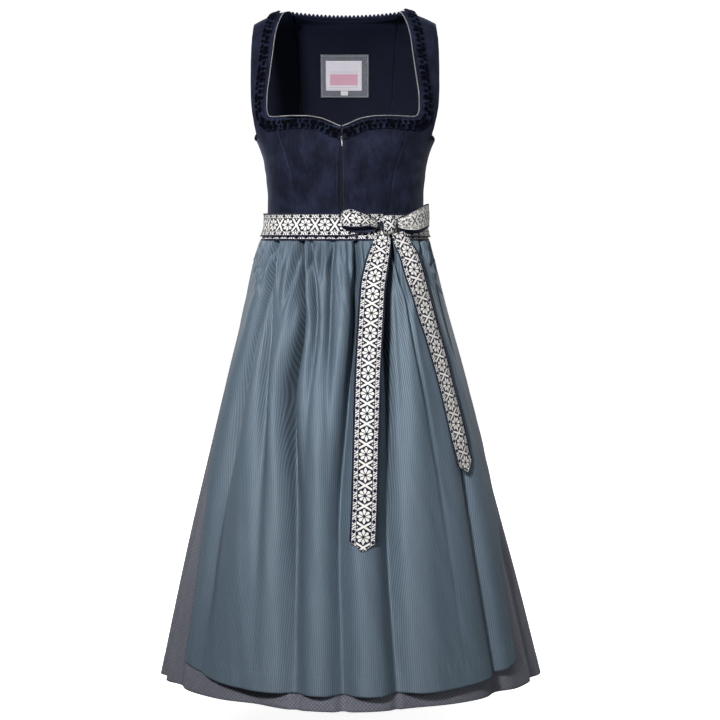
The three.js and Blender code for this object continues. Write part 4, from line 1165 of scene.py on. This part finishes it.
slider_outline = (
    arc(2.6, 1.1, 0, 180, 9) + [(-1.1, 1), (-0.85, -1.5)]
    + arc(-3.6, 0.85, 180, 360, 7) + [(0.85, -1.5), (1.1, 1)]
)
rounded_block(
    "zip_slider_body", slider_outline, TAPE_FRONT - 0.3, BODICE_WALL + 1.1, 0.35, DARK_METAL, "dress",
    "zip_slider", (FRONT_LINE, -205.5),
)
pull_outline = (
    arc(0, 1.02, 0, 180, 9) + [(-0.85, -3), (-0.72, -6.3), (-1.0, -10)] + arc(-12.8, 1.2, 180, 360, 13)
    + [(1.0, -10), (0.72, -6.3), (0.85, -3)]
)
rounded_block(
    "zip_pull_tab", pull_outline, PULL_BACK, 1, 0.25, METAL, "zip_pull", "zip_pull", (FRONT_LINE, -208.6),
    lean=-0.09, hole=arc(-12.8, 0.5, 0, 330, 12),
)

# Stitching beside the slit
for side_name, side in SIDES:
    t = np.linspace(0.02, 0.97, 120)
    inner_x, inner_z, _, _ = path(FRONT_CENTER_ROWS)(t)
    x = from_middle(inner_x + 4.2, side)
    line = over_torso(x, inner_z, 0 * x + BODICE_WALL + 0.1, False)
    line[:, 1] -= SEAM_GAP / 2
    normal = torso_normal(*torso_place(x, inner_z, False))
    stitches(f"slit_stitches_{side_name}", line, normal, 3.1, 2.3, 0.3, NAVY_THREAD)

# Apron: its turned hems, and how much higher its hem is at the sides
HEM_TURN = 32
SIDE_TURN = 11
SIDE_RISE = 19


def apron_bottom(u):
    return APRON_DROP - SIDE_RISE * (2 * u - 1) ** 4


def apron_away(angle, u, z):
    """How far the apron's outer face stands off the skirt's form, with its small folds."""
    drop = -z
    turns = u * APRON_GATHERS
    reach = 1 + 0.6 * wander(turns * 0.8, 1.7)
    height = gather_height(APRON_TOP + np.maximum(0, drop - APRON_TOP) / reach)
    small = 0.5 * height * (0.5 - 0.5 * np.cos(2 * np.pi * (turns * 2.3 + 0.6 * wander(turns, 0.4))))
    pinch = smoothstep(drop, APRON_TOP, APRON_TOP + 10)
    drift = turns + 0.35 * wander(turns * 0.9, 3.3)
    strong = 0.7 + 2.2 * np.maximum(0, wander(turns * 0.62, 0.9))
    gathers = (height * strong * gather(drift) + small * 0.55) * mix(0.7, 1, pinch)
    sway = 0.9 * wander(angle * 9 + drop * 0.006, 2.2) * smoothstep(drop, 420, 560)
    dents = 0.5 * wander(angle * 21 - drop * 0.021, 5.2) * smoothstep(drop, 480, 700)
    return apron_off(angle, z) - apron_hollow(angle, z) - gathers + sway + dents


def apron_points(columns, rows):
    u, v = grid(columns, rows)
    bottom = apron_bottom(u)
    drop = mix(APRON_TOP, bottom, v)
    z = -drop
    angle = np.radians(mix(right_edge(drop), left_edge(drop), u))
    away = apron_away(angle, u, z) + SKIRT_WALL
    above_hem = bottom - drop
    turned_in = 0.4 * smoothstep(above_hem, HEM_TURN + 3, HEM_TURN - 1)
    seam = 0.45 * bump(2.5 + above_hem - HEM_TURN, 1.6) - turned_in
    pucker = 0.3 * np.sin(u * 340) * bump(above_hem - HEM_TURN, 6)
    side = np.minimum(u, 1 - u) * np.radians(left_edge(drop) - right_edge(drop)) * skirt_radius(drop)
    side_seam = 0.4 * bump(side - SIDE_TURN, 1.2) - 0.35 * smoothstep(side, SIDE_TURN + 2, SIDE_TURN - 2)
    return around_skirt(angle, z, away - seam + pucker - side_seam), (u * APRON_WIDTH, drop)


def three_spacings(first, second, counts):
    """Shares from 0 to 1 with their own spacing up to the first share, up to the second and beyond it."""
    return np.concatenate([
        np.linspace(0, first, counts[0], endpoint=False), np.linspace(first, second, counts[1], endpoint=False),
        np.linspace(second, 1, counts[2]),
    ])


APRON_WIDTH = 640.0
points, uv = apron_points(300, three_spacings(0.2, 0.94, (56, 84, 18)))
shell("apron_cloth", points, SKIRT_WALL - 0.4, uv, APRON, flip=True, replaces=["apron"], slot="apron_cloth")


def apron_line(height, steps=900):
    """A line along the apron this far above its hem."""
    u = np.linspace(0.012, 0.988, steps)
    drop = apron_bottom(u) - height
    angle = np.radians(mix(right_edge(drop), left_edge(drop), u))
    away = apron_away(angle, u, -drop) + SKIRT_WALL - 0.2
    line = around_skirt(angle, -drop, away)
    normal = unit(around_skirt(angle, -drop, away + 1) - line)
    return line, normal


line, normal = apron_line(HEM_TURN)
stitches("apron_hem_stitches", line, normal, 3.4, 2.5, 0.32, APRON_THREAD)


# Skirt
SKIRT_TOP = 347.4
SKIRT_TURN = 34


def skirt_points(start, end, columns, rows, gathers):
    u, v = grid(columns, rows)
    drop = mix(SKIRT_TOP, HEM_DROP, v)
    z = -drop
    inset = 0.3 / skirt_radius(drop)
    angle = mix(math.radians(start) + inset, math.radians(end) - inset, u)
    turned = np.radians(half_turn(np.degrees(angle)))
    near_waist = np.minimum(1, (drop - 345) / 20)
    height = 0 * u
    if gathers:
        reach = 1 + 0.4 * wander(u * gathers * 0.7, 2.9)
        tall = gather_height(APRON_TOP + np.maximum(0, drop - APRON_TOP) / reach)
        small = 0.3 * (0.5 - 0.5 * np.cos(2 * np.pi * u * gathers * 2.4))
        height = 1.6 * tall * (gather(u * gathers) + small)
    under = smoothstep(apron_share(turned, drop), 1.035, 1.0) * smoothstep(drop, APRON_TOP - 2, APRON_TOP + 1)
    pressed = -apron_away(turned, apron_along(turned, drop), z) + 2.2 + SKIRT_WALL
    sway = 0.8 * wander(angle * 8 + drop * 0.007, 0.7) * smoothstep(drop, 480, 700)
    folded = np.maximum(skirt_hollow(angle, z), np.maximum(0, pressed) * under)
    above_hem = HEM_DROP - drop
    seam = 0.5 * bump(above_hem - SKIRT_TURN, 1.6) - 0.3 * smoothstep(above_hem, SKIRT_TURN + 2, SKIRT_TURN - 2)
    points = around_skirt(angle, z, SKIRT_WALL - folded - height * near_waist + sway - seam)
    return points, (lengths(points, 1, 0.5), drop)


skirt_rows = three_spacings(0.22, 0.93, (46, 78, 16))
for node, start, columns, gathers in (("skirt_front", -90, 180, 0), ("skirt_back", 90, 290, BACK_GATHERS)):
    points, uv = skirt_points(start, start + 180, columns, skirt_rows, gathers)
    shell(node + "_cloth", points, SKIRT_WALL - 0.2, uv, SKIRT, flip=True, replaces=[node], slot="skirt_cloth")

# Ribbon: shares across it, close together at its piped edges
AT_EDGE = np.array([17, 17.25, 17.6, 18, 18.4, 18.75, 19])
ACROSS = np.concatenate([-AT_EDGE[::-1], np.linspace(-16, 16, 13), AT_EDGE])


def piped(y):
    """Height of the piping along the ribbon's edges."""
    return 0.75 * np.sqrt(np.maximum(0, 1 - (np.abs(y) - 18) ** 2)) * (np.abs(y) > 17)


BAND_AWAY = BODICE_WALL + 1.5
TIE_AWAY = BAND_AWAY + RIBBON_WALL + 1.7
BACK_SLANT = 4


def ribbon_shell(node, points, y, shift, wall, face=RIBBON, back=NAVY, flip=False):
    """A length of ribbon from its grid of points; shift is where the pattern starts."""
    along = lengths(points[len(ACROSS) // 2][None], 1, 0)[0]
    uv = (np.broadcast_to(along, y.shape) + shift, y)
    shell(node + "_ribbon", points, wall, uv, face, inside=back, flip=flip, replaces=[node], slot="ribbon")


def waist_ribbon(node, start, end, top, bottom, away, shift):
    turns = np.linspace(start, end, int((end - start) * 1.1))
    y, turn = np.meshgrid(ACROSS, turns, indexing="ij")
    share = y / (2 * RIBBON_HALF) + 0.5
    z = mix(bottom(turn), top(turn), share)
    ripple = 0.35 * wander(turn * 0.16 + y * 0.03, shift)
    angle = np.radians(turn)
    points = around_waist(angle, z, away(turn) + RIBBON_WALL - 0.4 + piped(y) + ripple)
    ribbon_shell(node, points, y, shift, RIBBON_WALL - 0.5)


def at_back(turn):
    return BACK_SLANT * smoothstep(np.abs(turn), 120, 180)


def narrowed(turn):
    return 11 * smoothstep(turn, 0, 27)


def under_lap(turn):
    return mix(TIE_AWAY, BAND_AWAY, smoothstep(turn, -172, -178))


def steady(value):
    return lambda turn: value + 0 * turn


waist_ribbon("apron_band", -170.5, 170.5, steady(-330), steady(-366.6), steady(BAND_AWAY), 4)
waist_ribbon(
    "tie_right", -189, 27, lambda turn: -324 + at_back(turn),
    lambda turn: -360.5 + at_back(turn) + narrowed(turn), under_lap, 11,
)
waist_ribbon(
    "tie_left", 33, 183, lambda turn: -325 - at_back(turn), lambda turn: -361.5 - at_back(turn),
    steady(TIE_AWAY), 17,
)


def loop(node, rows, steps, shift, face, flip):
    """A loop of the bow, from its front layer round its end to its back layer."""
    upper = path([(turn, top, away) for turn, top, _, away in rows])
    lower = path([(turn, bottom, away) for turn, _, bottom, away in rows])
    t = np.linspace(0, 1, steps)
    y, u = np.meshgrid(ACROSS, t, indexing="ij")
    share = y / (2 * RIBBON_HALF) + 0.5
    top, low = upper(u), lower(u)
    turn, z, away = (mix(low[k], top[k], share) for k in range(3))
    pinch = bump(u, 0.16) + bump(u - 1, 0.16)
    pleat = 1.1 * np.sin(share * 3 * 2 * np.pi + 1) * pinch
    belly = 1.3 * np.sin(np.pi * share) * (1 - pinch)
    points = around_waist(np.radians(turn), z, away + 0.9 + pleat)
    points = points + grid_normals(points) * ((belly + piped(y)) * (-1 if flip else 1))[..., None]
    ribbon_shell(node, points, y, shift, RIBBON_WALL - 0.6, face, flip=flip)


loop("bow_loop_right", RIGHT_LOOP_ROWS, 150, 9.5, RIBBON, True)
loop("bow_loop_left", LEFT_LOOP_ROWS, 170, 3, REVERSE, False)


def knot():
    """The ribbon wrapped round itself, with the edges drawn in."""
    around = np.linspace(0, 2 * np.pi, 97)[:-1]
    c, phi = np.meshgrid(ACROSS / RIBBON_HALF, around)
    pull = np.maximum(0.03, 1 - np.abs(c) ** 3.2) ** 0.55
    crease = 1 - 0.07 * bump(c - 0.35 - 0.12 * np.cos(phi), 0.1) - 0.06 * bump(c + 0.42, 0.1)
    x = 13.2 * c + 1.0 * np.sin(2 * phi)
    back = 8.6 * pull * crease * np.cos(phi)
    up = 15.2 * pull * crease * np.sin(phi)
    local = np.stack([x, -back, up], -1)
    tilt = math.radians(-14)
    turn = math.radians(29.6)
    lean = np.array([[math.cos(tilt), 0, math.sin(tilt)], [0, 1, 0], [-math.sin(tilt), 0, math.cos(tilt)]])
    spin = np.array([[math.cos(turn), -math.sin(turn), 0], [math.sin(turn), math.cos(turn), 0], [0, 0, 1]])
    points = local @ (spin @ lean).T + around_waist(np.array(turn), np.array(-342.5), 18)
    rows, columns = c.shape
    index = np.arange(rows * columns).reshape(rows, columns)
    after = np.roll(index, -1, axis=0)
    faces = np.stack([index[:, :-1], index[:, 1:], after[:, 1:], after[:, :-1]], -1).reshape(-1, 4)
    faces = faces.tolist() + [index[::-1, 0].tolist(), index[:, -1].tolist()]
    wound = 12.5 * np.where(phi > np.pi, phi - 2 * np.pi, phi)
    uv = np.stack([wound, c * RIBBON_HALF], -1).reshape(-1, 2)
    make("bow_knot_ribbon", points.reshape(-1, 3), faces, uv, [RIBBON], replaces=["bow_knot"], slot="ribbon")


knot()


def tail(node, rows, tilt, shift):
    """A hanging tail of the bow, which stays clear of the apron's gathers; its tip is cut to a point."""
    tip = rows[-1][1]
    t = np.concatenate([np.linspace(0, 0.9, 150, endpoint=False), np.linspace(0.9, 1, 40)])
    y, u = np.meshgrid(ACROSS, t, indexing="ij")
    share = y / (2 * RIBBON_HALF)
    side, z, width, away = path(rows)(u)
    half = share * np.minimum(width, 3 + 2.6 * (z - tip))
    height = z + half * tilt
    place = side_angle(side, z)
    spread = np.linalg.norm(skirt_form(place + 0.01, z) - skirt_form(place, z), axis=-1) / 0.01
    curl = 0.9 * wander(u * 13 + share * 1.4, shift) * smoothstep(u, 0.05, 0.3)
    cup = -1.2 * (2 * share) ** 2 * bump(u, 0.14)
    angle = place + half / spread
    cloth = (apron_away(angle, apron_along(angle, -height), height) + SKIRT_WALL).max(axis=0)
    reach = 15
    weights = np.exp(-(np.linspace(-2, 2, 2 * reach + 1) ** 2))
    smooth = np.convolve(np.pad(cloth, reach, mode="edge"), weights / weights.sum(), mode="valid")
    away = np.maximum(away, smooth + 2.4)
    points = around_skirt(angle, height, away + curl + cup)
    points = points + grid_normals(points) * piped(y)[..., None]
    ribbon_shell(node, points, half * 2 * RIBBON_HALF / np.maximum(width, 30), shift, RIBBON_WALL - 0.5)


tail("bow_tail_right", RIGHT_TAIL_ROWS, -0.06, 6)
tail("bow_tail_left", LEFT_TAIL_ROWS, 0.28, 15)


# Studio
def backdrop():
    """A pale round floor that curves up into a wall all round the dress, behind every camera."""
    radius, floor, curve_radius, steps = 9.0, -1.13, 2.0, 96
    profile = [(0.02, floor), (radius - curve_radius, floor)]
    for k in range(1, 13):
        turn = k / 12 * math.pi / 2
        out = radius - curve_radius * (1 - math.sin(turn))
        profile.append((out, floor + curve_radius * (1 - math.cos(turn))))
    profile.append((radius, 9.0))
    points = []
    for out, height in profile:
        for k in range(steps):
            turn = 2 * math.pi * k / steps
            points.append((out * math.cos(turn), out * math.sin(turn), height))
    faces = [list(range(steps))]
    for ring in range(len(profile) - 1):
        for k in range(steps):
            here, after = ring * steps + k, ring * steps + (k + 1) % steps
            faces.append((here, after, after + steps, here + steps))
    mesh = bpy.data.meshes.new("backdrop")
    mesh.from_pydata(points, [], faces)
    mesh.polygons.foreach_set("use_smooth", [True] * len(mesh.polygons))
    paint = Paint("paper", 0.9)
    paint.color(paint.blend(paint.noise(400, 1), (0.83, 0.83, 0.83), (0.86, 0.86, 0.86)))
    paint.shader.inputs["Emission Color"].default_value = (1, 1, 1, 1)
    paint.shader.inputs["Emission Strength"].default_value = 0.93
    mesh.materials.append(paint.material)
    obj = in_scene("backdrop", mesh)
    obj.visible_diffuse = False
    obj.visible_glossy = False


def area_light(name, place, target, size, power, spread=math.pi):
    data = bpy.data.lights.new(name, "AREA")
    data.shape = "SQUARE"
    data.size = size
    data.energy = power
    data.spread = spread
    obj = in_scene(name, data)
    obj.location = place
    direction = np.array(target) - np.array(place)
    length = float(np.linalg.norm(direction))
    obj.rotation_mode = "XYZ"
    obj.rotation_euler = (
        math.acos(-direction[2] / length), 0, math.atan2(direction[1], direction[0]) - math.pi / 2,
    )


backdrop()
area_light("key", (-1.0, -3.2, 0.95), (0.02, 0, -0.42), 0.4, 17, 0.9)
area_light("fill", (2.4, -2.8, 0.1), (0, 0, -0.6), 1.0, 25)
area_light("top", (0.0, -1.0, 2.4), (0, 0, -0.4), 1.2, 10)
area_light("back left", (2.3, 2.7, 0.9), (0, 0, -0.55), 1.4, 75)
area_light("back right", (-2.3, 2.7, 0.9), (0, 0, -0.55), 1.4, 75)
world = bpy.data.worlds.new("studio")
world.use_nodes = True
world.node_tree.nodes["Background"].inputs[0].default_value = (1, 1, 1, 1)
world.node_tree.nodes["Background"].inputs[1].default_value = 0.1
bpy.context.scene.world = world
bpy.context.scene.view_settings.view_transform = "Standard"

camera_data = bpy.data.cameras.new("camera")
camera_data.lens = 100.3
camera_data.sensor_width = 36
camera_data.clip_end = 50
camera = in_scene("camera", camera_data)
camera.location = (0.0256, -3.2, -0.355)
camera.rotation_euler = (math.radians(90 - 3.621), 0, 0)
bpy.context.scene.camera = camera
